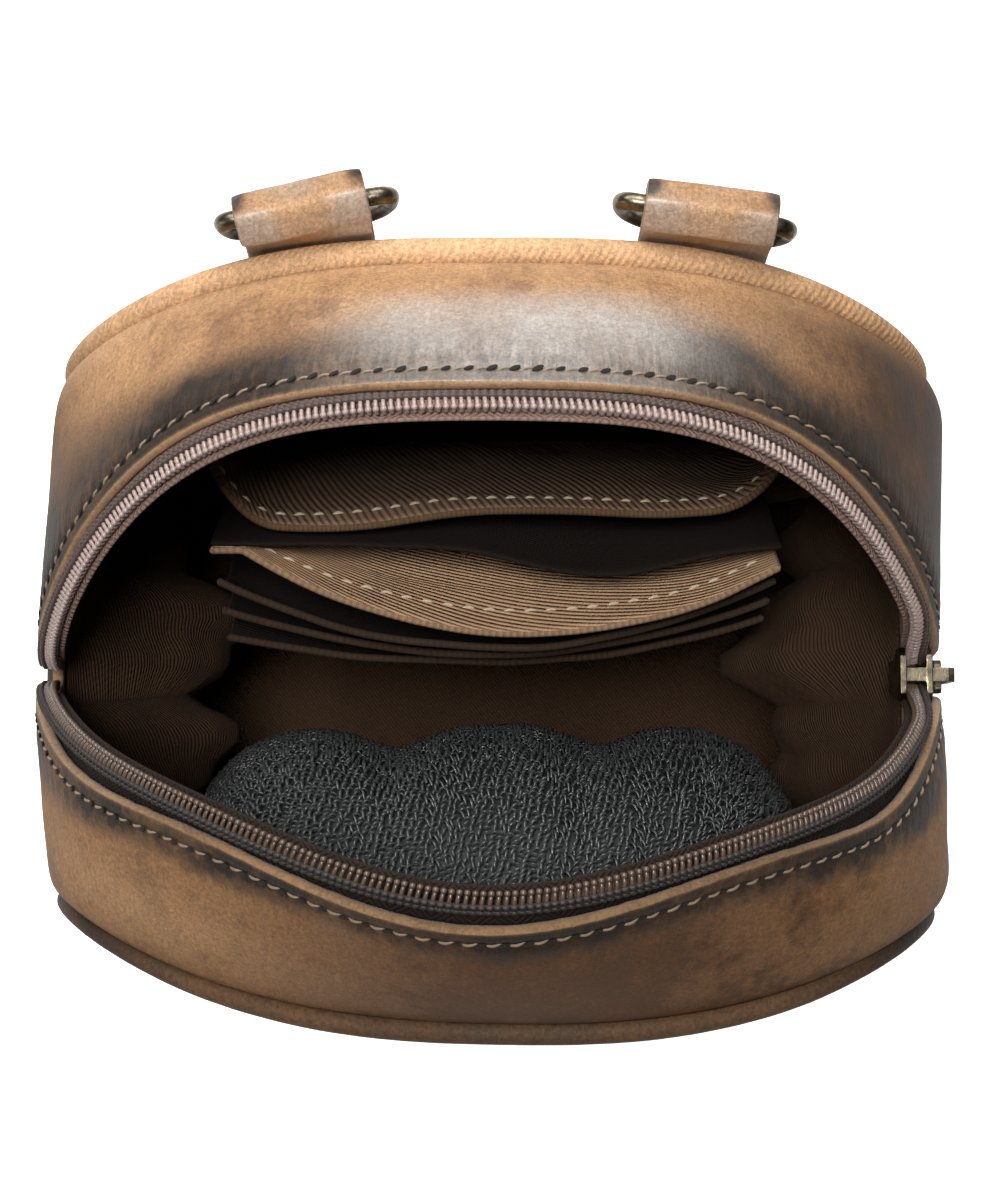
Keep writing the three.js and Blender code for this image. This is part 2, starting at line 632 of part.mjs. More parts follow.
// Each tab folds round a line through x, y, z, turned by some degrees. Its ring lies slack in the fold:
// it has its own turn, is slid along the fold by shift and is sunk towards the bag.
const TABS = {
  left: { x: -35.8, y: 79.4, z: 193, turn: 12.5, ringTurn: 9.5, shift: 0.8, sunk: 0 },
  right: { x: 39.6, y: 78.6, z: 193, turn: -7.7, ringTurn: -10, shift: -0.8, sunk: 0.4 },
};

const alongTurn = (degrees) => vec(1, 0, 0).applyAxisAngle(vec(0, 0, 1), THREE.MathUtils.degToRad(degrees));
const acrossTurn = (degrees) => alongTurn(degrees + 90);

// The tab's outer skin from its lower front edge, over the fold and down the rear, as [back, z], where
// back is measured from the fold's middle.
function tabProfile(fold) {
  const profile = [...TAB_HEIGHTS, TAB_SEAT_Z, TAB_PARTS_Z].map((z) => [-FOLD_RADIUS, z]);
  for (let i = 0; i <= FOLD_STEPS; i += 1) {
    const angle = Math.PI * (1 - i / FOLD_STEPS);
    profile.push([FOLD_RADIUS * Math.cos(angle), fold.z + FOLD_RADIUS * Math.sin(angle)]);
  }
  const rear = 2 * TAB_LEATHER + PLY_GAP - FOLD_RADIUS;
  profile.push(...REAR_PLY_CLOSES, [rear, REAR_PLY_SEAT_Z]);
  return [...profile, ...[...TAB_HEIGHTS].reverse().map((z) => [rear, z])];
}

function strapTab(fold) {
  const profile = tabProfile(fold);
  const [along, outwards] = [alongTurn(fold.turn), acrossTurn(fold.turn)];
  const surface = (r, c) => {
    const [back, z] = profile[Math.round(r * (profile.length - 1))];
    const spot = vec(fold.x, fold.y, z).addScaledVector(along, (c - 0.5) * TAB_WIDTH);
    spot.addScaledVector(outwards, back);
    const layer = back + FOLD_RADIUS;
    const lying = outerDepth(FACES.back, spot.x, Math.min(z, TAB_SEAT_Z)) + 2 * GAP + layer;
    spot.y = THREE.MathUtils.lerp(lying, spot.y, THREE.MathUtils.smoothstep(z, TAB_PARTS_Z - 2, fold.z));
    return spot;
  };
  return thicken(sheet(surface, profile.length - 1, TAB_STEPS), -TAB_LEATHER);
}

function dRing(fold) {
  const straight = RING_HALF_WIDTH - RING_CORNER;
  const corner = [[RING_HALF_WIDTH - RING_CORNER_CUT, RING_CORNER_CUT], [RING_HALF_WIDTH, RING_CORNER]];
  const flat = [-straight, -straight / 3, straight / 3, straight].map((a) => [a, 0]);
  flat.push(...corner);
  for (let i = 1; i < RING_CURVE_STEPS; i += 1) {
    const angle = (i / RING_CURVE_STEPS) * Math.PI;
    const side = Math.sign(Math.cos(angle)) * Math.abs(Math.cos(angle)) ** RING_FULLNESS;
    flat.push([
      RING_HALF_WIDTH * side,
      RING_CORNER + (RING_DROP - RING_CORNER) * Math.sin(angle) ** RING_FULLNESS,
    ]);
  }
  flat.push(...corner.map(([a, d]) => [-a, d]).reverse());
  const [alongBar, outwards] = [alongTurn(fold.ringTurn), acrossTurn(fold.ringTurn)];
  const bar = vec(fold.x, fold.y, fold.z).addScaledVector(outwards, -fold.sunk);
  bar.addScaledVector(alongBar, fold.shift);
  const down = vec(0, 0, -Math.cos(RING_TILT)).addScaledVector(outwards, Math.sin(RING_TILT));
  const planeNormal = alongBar.clone().cross(down);
  const stations = flat.map(([a, d], i) => {
    const [a0, d0] = flat[(i + flat.length - 1) % flat.length];
    const [a1, d1] = flat[(i + 1) % flat.length];
    const tangent = alongBar.clone().multiplyScalar(a1 - a0).addScaledVector(down, d1 - d0).normalize();
    const centre = bar.clone().addScaledVector(down, d).addScaledVector(alongBar, a);
    return { centre, across: tangent.cross(planeNormal), up: planeNormal };
  });
  return sweep(stations, RING_WIRE_RADIUS, RING_WIRE_RADIUS, 6, true);
}

// ---------------------------------------------------------------- lining

const LINING_RIM_INSET = 0.6;
const LINING_RINGS = 3;
const LINING_FULLNESS = 0.5;
const TOP_LINING_CROSSINGS = [0.08, 0.15, 0.5, 0.83];
const SLACK_DEPTH = 25;
const SLACK_LOW = 42;
const SLACK_SINK = 0.3;

function faceLining(face) {
  const stations = roundStations(FACE_SIDE_STEPS);
  const surface = (r, c) => {
    return facePoint(face, stations[Math.round(c * (stations.length - 1))], r, LINING_RIM_INSET);
  };
  const open = sheet(surface, LINING_RINGS, stations.length - 1);
  return thicken(open, face.side * CLOTH, face.side * (LEATHER + GAP));
}

function topLining(face, arch) {
  const lastU = 1 - 2 / TOP_COLUMNS;
  const rows = TOP_LINING_CROSSINGS.length - 1;
  const surface = (r, c) => {
    return topFacet(face, arch, lastU * (2 * c - 1), TOP_LINING_CROSSINGS[Math.round(r * rows)]);
  };
  return thicken(sheet(surface, rows, TOP_COLUMNS - 2), face.side * CLOTH, face.side * (LEATHER + GAP));
}

// The side lining hangs slack: below each zip end it falls inwards as a soft fold.
function gussetLining() {
  const distances = stripDistances(4);
  const crossings = STRIP_CROSSINGS.slice(1, -1);
  const surface = (r, c) => {
    const distance = distances[Math.round(r * (distances.length - 1))];
    const v = crossings[Math.round(c * (crossings.length - 1))];
    const spot = lowerStrip(distance, v, LINING_FULLNESS);
    const fromEnd = Math.min(distance, 2 * HALF_LENGTH - distance) - ZIP_END_DISTANCE;
    const fold = smooth(fromEnd, 0, SLACK_LOW) * (1 - smooth(fromEnd, SLACK_LOW, 2.1 * SLACK_LOW));
    const inwards = SLACK_DEPTH * fold * Math.cos(v * Math.PI / 2);
    spot.x -= Math.sign(spot.x) * inwards;
    spot.z -= SLACK_SINK * inwards;
    return spot;
  };
  return thicken(sheet(surface, distances.length - 1, crossings.length - 1), -CLOTH, -(LEATHER + GAP));
}

// ---------------------------------------------------------------- pockets

const POCKET_HALF_WIDTH = 57;
const wallInside = (face, x, z) => outerDepth(face, x, z) - LEATHER - CLOTH - 3 * GAP;

// A cloth sheet whose rows rise from the first height to the last; depth(x, rise) is its Y.
function pocketSheet(halfWidth, lowZ, topZ, depth, rows, columns) {
  const surface = (r, c) => {
    const x = THREE.MathUtils.lerp(-halfWidth, halfWidth, c);
    return vec(x, depth(x, r), THREE.MathUtils.lerp(lowZ, topZ, r));
  };
  return thicken(sheet(surface, rows, columns), CLOTH);
}

// The slip pocket lies on the back wall and its hem gapes forward in the middle.
const SLIP = { low: 72, top: 150, mouth: 28.5, halfWidth: 66, corner: 22 };

function slipDepth(x, rise) {
  const z = THREE.MathUtils.lerp(SLIP.low, SLIP.top, rise);
  const wall = wallInside(FACES.back, x, z) - CLOTH;
  const open = smooth(SLIP.halfWidth - Math.abs(x), 0, SLIP.corner) * rise ** 1.2;
  return THREE.MathUtils.lerp(wall, SLIP.mouth, open);
}

// The organiser leans forward in front of the slip pocket: a back panel with a notch in its top edge,
// a front panel whose hem sags forward, and three card slots on the front of that.
const ORGANISER_LOW_Z = 92;
const ORGANISER_TOP_Z = 150;
const CARD_BACK = { ends: 21.5, notch: 6, notchX: 21, notchWidth: 22 };
const CARD_FRONT = { foot: 41.5, ends: 20, middle: 3, sagX: 6 };
const CARD_SLOTS = [
  { name: 'card_slot_1', top: 140, foot: 38, left: 14.9, middle: 1.2, right: 15 },
  { name: 'card_slot_2', top: 130, foot: 35.8, left: 9.8, middle: 0.5, right: 12 },
  { name: 'card_slot_3', top: 120, foot: 33.6, left: 4.7, middle: -0.6, right: 9 },
];

function cardBackDepth(x, rise) {
  const notch = CARD_BACK.notch * Math.exp(-(((x - CARD_BACK.notchX) / CARD_BACK.notchWidth) ** 2));
  const foot = slipDepth(x, (ORGANISER_LOW_Z - SLIP.low) / (SLIP.top - SLIP.low)) - CLOTH - GAP;
  return THREE.MathUtils.lerp(foot, CARD_BACK.ends - notch, rise);
}

function cardFrontDepth(x, rise) {
  const aside = Math.min(1, Math.abs(x - CARD_FRONT.sagX) / POCKET_HALF_WIDTH) ** 2;
  const hem = THREE.MathUtils.lerp(CARD_FRONT.middle, CARD_FRONT.ends, aside);
  return THREE.MathUtils.lerp(CARD_FRONT.foot, hem, rise);
}

function cardSlotDepth(slot, x, rise) {
  const end = x < 0 ? slot.left : slot.right;
  const aside = Math.abs(x / POCKET_HALF_WIDTH) ** 2;
  const hem = THREE.MathUtils.lerp(slot.middle, end, aside);
  return THREE.MathUtils.lerp(slot.foot, hem, 1 - (1 - rise) ** 2.2);
}

// The knitted pocket hangs from a hem under the front zip edge and bellies into the bag in three lobes.
const MESH_HALF_WIDTH = 64;
const MESH_LOW_Z = 60;
const MESH_END_DROP = 0.18;
const MESH_PROFILE = [
  [-64, MESH_LOW_Z], [-42, 82], [-22, 112], [-15.5, 138], [-17, 154], [-30, 171], [-56, 187],
];
const MESH_VALLEYS = [{ x: -19, depth: 5 }, { x: 20, depth: 4 }];
const MESH_VALLEY_WIDTH = 9;

function meshPocket() {
  const curve = new THREE.CatmullRomCurve3(MESH_PROFILE.map(([y, z]) => vec(0, y, z)));
  const surface = (r, c) => {
    const x = THREE.MathUtils.lerp(-MESH_HALF_WIDTH, MESH_HALF_WIDTH, c);
    const spot = curve.getPoint(r);
    const height = 1 - MESH_END_DROP * Math.abs(x / MESH_HALF_WIDTH) ** 3;
    spot.z = THREE.MathUtils.lerp(MESH_LOW_Z, spot.z, height);
    const valleys = MESH_VALLEYS.map((v) => v.depth * Math.exp(-(((x - v.x) / MESH_VALLEY_WIDTH) ** 2)));
    const dip = valleys.reduce((a, b) => a + b) * Math.sin(Math.PI * r);
    const wall = CLOTH + 2 * GAP - wallInside(FACES.front, x, spot.z);
    const full = (1 - Math.abs(x / MESH_HALF_WIDTH) ** 6) ** 0.5;
    const bellied = Math.max(wall, spot.y - dip);
    return vec(x, THREE.MathUtils.lerp(wall, bellied, full), spot.z);
  };
  return thicken(sheet(surface, 8, 20), CLOTH);
}

// ---------------------------------------------------------------- the assembly

const bag = new THREE.Group();
bag.name = 'crossbody_bag';

function add(name, geometry, material) {
  const mesh = new THREE.Mesh(geometry, material);
  mesh.name = name;
  bag.add(mesh);
}

const { back, front } = FACES;
add('back_panel', facePanel(back), leather);
add('front_panel', facePanel(front), leather);
add('gusset_back', gussetHalf(back, ARCHES.edge_back), leather);
add('gusset_front', gussetHalf(front, ARCHES.edge_front), leather);
add('gusset_base', gussetBase(), leather);
add('zip_tape_back', zipTapeSide(back, ARCHES.edge_back, ARCHES.coil_back), zipTape);
add('zip_tape_front', zipTapeSide(front, ARCHES.edge_front, ARCHES.coil_front), zipTape);
add('zip_coil_back', zipCoilBar(ARCHES.edge_back, ARCHES.coil_back), zipCoil);
add('zip_coil_front', zipCoilBar(ARCHES.edge_front, ARCHES.coil_front), zipCoil);
add('zip_slider', zipSlider(), brass);
add('zip_pull', zipPull(), brass);
for (const [name, bar] of Object.entries(TABS)) {
  add(`strap_tab_${name}`, strapTab(bar), tabLeather);
  add(`d_ring_${name}`, dRing(bar), brass);
}
add('lining_back', faceLining(back), twill);
add('lining_front', faceLining(front), twill);
add('lining_top_back', topLining(back, ARCHES.edge_back), twill);
add('lining_top_front', topLining(front, ARCHES.edge_front), twill);
add('lining_gusset', gussetLining(), twill);
add('slip_pocket', pocketSheet(SLIP.halfWidth, SLIP.low, SLIP.top, slipDepth, 4, 18), twill);
const [cardLow, cardTop] = [ORGANISER_LOW_Z, ORGANISER_TOP_Z];
add('card_back', pocketSheet(POCKET_HALF_WIDTH - 1, cardLow, cardTop, cardBackDepth, 3, 12), twill);
add('card_front', pocketSheet(POCKET_HALF_WIDTH, cardLow, cardTop, cardFrontDepth, 4, 12), twill);
for (const slot of CARD_SLOTS) {
  const depth = (x, rise) => cardSlotDepth(slot, x, rise);
  add(slot.name, pocketSheet(POCKET_HALF_WIDTH, cardLow + 2, slot.top, depth, 4, 10), twill);
}
add('mesh_pocket', meshPocket(), meshKnit);

export default bag;
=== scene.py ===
"""A small worn-leather crossbody bag that stands with its arched zip top open.

The frame comes from the packed model. The bag's sizes are in millimetres and repeat the part's own named sizes.
The pitches of the textures, the merge distances and the stage are in metres.
"""

import math

import bmesh
import bpy
import numpy as np
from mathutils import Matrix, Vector, noise


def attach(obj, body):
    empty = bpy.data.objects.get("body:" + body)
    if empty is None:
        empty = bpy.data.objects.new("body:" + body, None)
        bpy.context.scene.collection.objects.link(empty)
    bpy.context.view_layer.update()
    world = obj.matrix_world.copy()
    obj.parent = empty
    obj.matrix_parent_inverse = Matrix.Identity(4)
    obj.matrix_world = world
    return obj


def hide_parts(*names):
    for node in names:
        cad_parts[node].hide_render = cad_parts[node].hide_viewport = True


bl_info = {
    "name": "Crossbody Bag",
    "version": (1, 0, 0),
    "blender": (4, 5, 0),
    "location": "View3D > Sidebar > Bag",
    "description": "Builds the leather, zip, metal, cloth and knit of a small crossbody bag",
    "category": "Object",
}

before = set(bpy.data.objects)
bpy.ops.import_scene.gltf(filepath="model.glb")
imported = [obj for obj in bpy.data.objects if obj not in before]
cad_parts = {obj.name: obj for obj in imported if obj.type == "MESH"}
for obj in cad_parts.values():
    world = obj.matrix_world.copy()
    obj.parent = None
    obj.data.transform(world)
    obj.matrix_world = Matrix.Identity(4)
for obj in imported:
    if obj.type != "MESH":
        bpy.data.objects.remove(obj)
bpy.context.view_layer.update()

MM = 0.001

# ---------------------------------------------------------------- shape of the bag, as in the part's source

SEAM_HALF_WIDTH = 87.0
SEAM_TOP_Z = 190.0
SEAM_BASE_Z = 2.6
ARCH_HEIGHT = 54.0
ARCH_POWER = 2.8
LOWER_CORNER_RADIUS = 28.0
ZIP_END_SEAM_Z = 132.0

BACK = dict(side=1, half_depth=53.0, bow=17.6, bow_power=2.8, bow_start=115.0, twist=0.0, roll=3.0)
FRONT = dict(side=-1, half_depth=46.5, bow=23.4, bow_power=2.5, bow_start=65.0, twist=0.02, roll=2.1)
FACE_BELLY = 1.5
ROLL_START = math.radians(-35)
ROLL_TUCK = math.radians(-62)
RIM_PUCKER_PITCH = 1.9
RIM_PUCKER = 0.035
RIM_RIB = 0.0013

ZIP_CENTRE_X = -1.5
ZIP_LINE_Y = -5.0
SLIDER_PULL_IN = 2.3
EDGE_REACH = 88.8
EDGE_END_Z = 149.5
COIL_REACH = 85.8
COIL_END_Z = 152.5
EDGE_BACK = dict(side=1, reach=EDGE_REACH, top=226.0, low=EDGE_END_Z, end=3.2, spread=43.0, power=3.7,
                 soften=0.92, billow=0.0, twist=0.0, pull=(0.9, 1.0))
EDGE_FRONT = dict(side=-1, reach=EDGE_REACH, top=232.0, low=EDGE_END_Z, end=3.5, spread=24.0, power=9.8,
                  soften=1.42, billow=19.1, twist=-0.12, pull=(0.9, 1.0))
COIL_BACK = dict(side=1, reach=COIL_REACH, top=231.5, low=COIL_END_Z, end=2.3, spread=39.2, power=3.5,
                 soften=0.97, billow=0.0, twist=0.0, pull=(0.75, 0.9))
COIL_FRONT = dict(side=-1, reach=COIL_REACH, top=235.0, low=COIL_END_Z, end=2.3, spread=21.6, power=6.9,
                  soften=1.19, billow=17.2, twist=-0.12, pull=(0.75, 0.9))
BILLOW_CENTRE_X = -6.5
BILLOW_HALF_WIDTH = 74.0

LEATHER = 2.0
LEATHER_WALL = LEATHER - 0.1
PANEL_WALL = 1.85
GAP = 0.35
GUSSET_SWELL = 2.5
CORNER_SWELL_RIGHT = 5.5
CORNER_SWELL_LEFT = 2.2
STRIP_SWELL_LEFT = 2.0
SIDE_BULGE = 2.6
FULLEST_BESIDE_SEAM = 0.15
ZIP_FIRST_U = -0.95
ZIP_LAST_U = 0.884


def lerp(a, b, t):
    return a + (b - a) * t


def smooth(value, low, high):
    t = np.clip((np.asarray(value, float) - low) / (high - low), 0, 1)
    return t * t * (3 - 2 * t)


def bell(value, centre, width, power=2):
    """1 at the centre, falling softly to nothing on both sides of it."""
    return np.exp(-((value - centre) / width) ** power)


def unit(a):
    return a / np.maximum(np.linalg.norm(a, axis=-1, keepdims=True), 1e-12)


def xyz(x, y, z):
    return np.stack(np.broadcast_arrays(x, y, z), axis=-1).astype(float)


ARCH_STEPS = 480
CORNER_STEPS = 96


def outline_table():
    """The seam outline of the faces, from its top centre round the right side to the middle of the base."""
    a = np.linspace(0, math.pi / 2, ARCH_STEPS + 1)
    b = np.linspace(0, math.pi / 2, CORNER_STEPS + 1)
    x = np.concatenate([
        SEAM_HALF_WIDTH * np.sin(a) ** (2 / ARCH_POWER),
        SEAM_HALF_WIDTH - LOWER_CORNER_RADIUS * (1 - np.cos(b)),
        [0.0],
    ])
    z = np.concatenate([
        SEAM_TOP_Z - ARCH_HEIGHT + ARCH_HEIGHT * np.clip(np.cos(a), 0, 1) ** (2 / ARCH_POWER),
        SEAM_BASE_Z + LOWER_CORNER_RADIUS * (1 - np.sin(b)),
        [SEAM_BASE_Z],
    ])
    length = np.concatenate([[0.0], np.cumsum(np.hypot(np.diff(x), np.diff(z)))])
    dx, dz = np.gradient(x), np.gradient(z)
    normal = unit(np.stack([-dz, dx], axis=-1))
    normal[0] = (0, 1)
    normal[ARCH_STEPS:ARCH_STEPS + 2] = (1, 0)
    normal[-2:] = (0, -1)
    return x, z, length, normal, length[ARCH_STEPS]


OUT_X, OUT_Z, OUT_L, OUT_N, ARCH_LENGTH = outline_table()
HALF_LENGTH = OUT_L[-1]
ZIP_END_DISTANCE = ARCH_LENGTH + SEAM_TOP_Z - ARCH_HEIGHT - ZIP_END_SEAM_Z


def outline(distance):
    """Point and outward direction of the outline at a distance round from its top centre."""
    whole = 2 * HALF_LENGTH
    wrapped = np.mod(distance, whole)
    mirrored = wrapped > HALF_LENGTH
    length = np.where(mirrored, whole - wrapped, wrapped)
    sign = np.where(mirrored, -1.0, 1.0)
    x = sign * np.interp(length, OUT_L, OUT_X)
    z = np.interp(length, OUT_L, OUT_Z)
    nx = sign * np.interp(length, OUT_L, OUT_N[:, 0])
    nz = np.interp(length, OUT_L, OUT_N[:, 1])
    return x, z, unit(xyz(nx, 0, nz))


def face_depth(face, x, z):
    rise = smooth(z, face["bow_start"], SEAM_TOP_Z)
    across = 1 - np.minimum(1, np.abs(x / (SEAM_HALF_WIDTH + 2))) ** face["bow_power"]
    return face["half_depth"] + face["bow"] * rise * across + face["twist"] * -face["side"] * x * rise


def seam_point(face, distance):
    x, z, n = outline(distance)
    inset = face["roll"] * math.cos(ROLL_START)
    depth = face_depth(face, x - n[..., 0] * inset, z - n[..., 2] * inset)
    return xyz(x, face["side"] * depth, z), n


def outer_depth(face, x, z):
    across = np.maximum(0, 1 - (x / SEAM_HALF_WIDTH) ** 2)
    belly = FACE_BELLY * across * np.sin(math.pi * np.clip(z / SEAM_TOP_Z, 0, 1))
    return face_depth(face, x, z) + face["roll"] * (1 - math.sin(ROLL_START)) + belly


def face_point(face, distance, part, inset):
    point, n = seam_point(face, distance)
    rim = point - n * (face["roll"] * math.cos(ROLL_START) + inset)
    x = rim[..., 0] * part
    z = lerp(SEAM_TOP_Z / 2, rim[..., 2], part)
    return xyz(x, face["side"] * outer_depth(face, x, z), z)


def arch_point(arch, u):
    angle = np.asarray(u, float) * math.pi / 2
    x = arch["reach"] * np.sin(angle)
    z = arch["low"] + (arch["top"] - arch["low"]) * np.cos(angle)
    outwards = np.minimum(1, np.abs(x / arch["reach"]))
    spread = arch["spread"] * (1 - outwards ** arch["power"]) ** arch["soften"]
    in_billow = np.minimum(1, np.abs(x - BILLOW_CENTRE_X) / BILLOW_HALF_WIDTH)
    billow = arch["billow"] * np.cos(in_billow * math.pi / 2) ** 2
    y = ZIP_LINE_Y + arch["side"] * (arch["end"] + spread + billow) + arch["twist"] * x * (1 - outwards ** 2)
    return xyz(ZIP_CENTRE_X + x - SLIDER_PULL_IN * smooth(u, *arch["pull"]), y, z)


def swell_shape(w, near_end):
    """How far a strip stands out from its chord: near the zip's ends it is fullest beside the seam."""
    beside_seam = w / FULLEST_BESIDE_SEAM
    beside = beside_seam * np.exp(1 - np.clip(beside_seam, -1, 40)) * (1 - w)
    return lerp(4 * w * (1 - w), beside, near_end)


def top_half(face, arch, u, w):
    """Outer skin of one top half of the gusset, w from the seam (0) to the zip edge (1), and its normal."""
    point, _ = seam_point(face, u * ZIP_END_DISTANCE)
    start = point - np.array([0, face["side"] * GAP, 0])
    edge = arch_point(arch, u)
    ahead = seam_point(face, u * ZIP_END_DISTANCE + 1)[0] - point
    normal = unit(np.cross(ahead, edge - start)) * -face["side"]
    near_end = np.abs(u) ** 3
    corner = np.where(np.asarray(u) > 0, CORNER_SWELL_RIGHT, CORNER_SWELL_LEFT)
    lift = lerp(GUSSET_SWELL, corner, near_end) * swell_shape(w, near_end)
    return lerp(start, edge, w[..., None]) + normal * lift[..., None], normal


def lower_strip(distance, v, fullness=1.0):
    """Outer skin of the strip under the zip's ends, v from the back seam (-1) to the front seam (1)."""
    def one_side(face, arch):
        point, n = seam_point(face, distance)
        start = point - np.array([0, face["side"] * GAP, 0])
        from_end = np.minimum(distance, 2 * HALF_LENGTH - distance) - ZIP_END_DISTANCE
        near_end = 1 - smooth(from_end, 0, 70)
        flat_for_pull = 1 - smooth(from_end, 20, 100)
        on_base = smooth(-n[..., 2], 0.5, 1)
        right = distance < HALF_LENGTH
        edge = arch_point(arch, np.where(right, 1.0, -1.0))
        bulge = lerp(SIDE_BULGE, SEAM_BASE_Z, on_base)
        middle = xyz(point[..., 0], (ZIP_LINE_Y + face["side"] * arch["end"]) * near_end, point[..., 2])
        middle = middle + n * bulge[..., None]
        middle[..., 0] = lerp(middle[..., 0], edge[..., 0], flat_for_pull)
        middle[..., 2] += near_end * (edge[..., 2] - 2 * GAP - ZIP_END_SEAM_Z)
        w = 1 - np.abs(v)
        reach = np.minimum(1, w / lerp(1, 0.15, on_base))
        rounded = bulge * (reach * (2 - reach) - w)
        swollen = fullness * np.where(right, CORNER_SWELL_RIGHT, STRIP_SWELL_LEFT) * swell_shape(w, 1)
        return lerp(start, middle, w[..., None]) + n * lerp(rounded, swollen, near_end)[..., None]
    return np.where((v < 0)[..., None], one_side(BACK, EDGE_BACK), one_side(FRONT, EDGE_FRONT))


# ---------------------------------------------------------------- making meshes


def grid_normals(points, wrap=False):
    dr = np.gradient(points, axis=0)
    dc = (np.roll(points, -1, axis=1) - np.roll(points, 1, axis=1)) if wrap else np.gradient(points, axis=1)
    return unit(np.cross(dr, dc))


def skin_towards(points, toward, wrap=False):
    """Normals of a point grid, turned to the side that toward points to."""
    normals = grid_normals(points, wrap)
    return normals * np.sign(np.sum(normals * toward))


def run_length(points):
    """Length run from the first point to each point of a line."""
    return np.concatenate([[0], np.cumsum(np.linalg.norm(np.diff(points, axis=0), axis=-1))])


def new_object(name, vertices, faces, materials, smooth_faces=True):
    mesh = bpy.data.meshes.new(name)
    mesh.from_pydata([tuple(v) for v in vertices], [], faces)
    for material in materials:
        mesh.materials.append(material)
    mesh.polygons.foreach_set("use_smooth", [smooth_faces] * len(mesh.polygons))
    piece = bpy.data.objects.new(name, mesh)
    bpy.context.scene.collection.objects.link(piece)
    return piece


MERGE_DISTANCE = 0.00001


def outward(piece):
    """Merges doubles and turns every face of a closed mesh outwards."""
    tool = bmesh.new()
    tool.from_mesh(piece.data)
    bmesh.ops.remove_doubles(tool, verts=tool.verts, dist=MERGE_DISTANCE)
    bmesh.ops.recalc_face_normals(tool, faces=tool.faces)
    tool.to_mesh(piece.data)
    tool.free()
    return piece


def shell(name, points, thickness, materials, masks=None, toward=None, wrap=False, bulge=0.3, flat=None):
    """A closed wall from a grid of millimetre points on its outer skin, which faces toward.

    materials are for the outer skin, the inner skin and the cut edge. masks are named point attributes, and
    flat gives each point's place on the flat cut where the grid's own lengths aren't it.
    """
    rows, columns = points.shape[:2]
    normals = skin_towards(points, toward, wrap)
    if wrap:
        normals[0] = unit(normals[1].mean(axis=0))
    depth = np.broadcast_to(np.asarray(thickness, float), (rows, columns))[..., None]
    inner = points - normals * depth
    vertices = [points.reshape(-1, 3), inner.reshape(-1, 3)]
    count = rows * columns
    faces, slots = [], []

    def at(i, j):
        return i * columns + (j % columns)

    across = columns if wrap else columns - 1
    for i in range(rows - 1):
        for j in range(across):
            quad = (at(i, j), at(i + 1, j), at(i + 1, j + 1), at(i, j + 1))
            faces.append(quad)
            slots.append(0)
            faces.append(tuple(count + k for k in reversed(quad)))
            slots.append(1)
    rim = [(rows - 1, j) for j in range(columns)]
    if not wrap:
        rim = ([(0, j) for j in range(columns)] + [(i, columns - 1) for i in range(1, rows)]
               + [(rows - 1, j) for j in range(columns - 2, -1, -1)] + [(i, 0) for i in range(rows - 2, 0, -1)])
    mids = []
    for k, (i, j) in enumerate(rim):
        away = np.cross(points[rim[(k + 1) % len(rim)]] - points[rim[k - 1]], normals[i, j])
        inside = points[i, j] - points[max(1, min(rows - 2, i)), j if wrap else max(1, min(columns - 2, j))]
        away = away if np.dot(away, inside) > 0 else -away
        mids.append((points[i, j] + inner[i, j]) / 2 + unit(away) * depth[i, j] * bulge)
        a, b = at(i, j), at(*rim[(k + 1) % len(rim)])
        m, n = 2 * count + k, 2 * count + (k + 1) % len(rim)
        faces += [(b, a, m, n), (n, m, count + a, count + b)]
        slots += [2, 2]
    vertices.append(np.array(mids))
    materials = list(materials) + [materials[-1]] * (3 - len(materials))
    piece = new_object(name, np.concatenate(vertices) * MM, faces, materials)
    piece.data.polygons.foreach_set("material_index", slots)
    order = np.concatenate([np.arange(count), np.arange(count), [i * columns + j for i, j in rim]])
    if flat is None:
        across_middle, down_middle = run_length(points[rows // 2]), run_length(points[:, columns // 2])
        flat = np.stack(np.meshgrid(across_middle, down_middle), axis=-1)
    uv = flat.reshape(-1, 2)[order] * MM
    corner = np.zeros(len(piece.data.loops), int)
    piece.data.loops.foreach_get("vertex_index", corner)
    piece.data.uv_layers.new(name="weave").data.foreach_set("uv", uv[corner].ravel())
    for key, values in (masks or {}).items():
        layer = piece.data.attributes.new(key, "FLOAT", "POINT")
        values = np.broadcast_to(values, (rows, columns)).reshape(-1)
        layer.data.foreach_set("value", values[order].astype(float))
    return outward(piece)


def smooth_curve(points, count):
    """A smooth line through a few [y, z] corners."""
    points = np.array(points, float)
    ends = np.concatenate([[2 * points[0] - points[1]], points, [2 * points[-1] - points[-2]]])
    t = np.linspace(0, len(points) - 1, count)
    i = np.clip(t.astype(int), 0, len(points) - 2)
    f = (t - i)[:, None]
    a, b, c, d = ends[i], ends[i + 1], ends[i + 2], ends[i + 3]
    return 0.5 * (2 * b + (c - a) * f + (2 * a - 5 * b + 4 * c - d) * f ** 2
                  + (3 * b - a - 3 * c + d) * f ** 3)


def noise_grid(points, size, seed):
    flat = points.reshape(-1, 3)
    values = [noise.noise(Vector(p / size) + Vector((seed, seed, -seed))) for p in flat]
    return np.array(values).reshape(points.shape[:2])


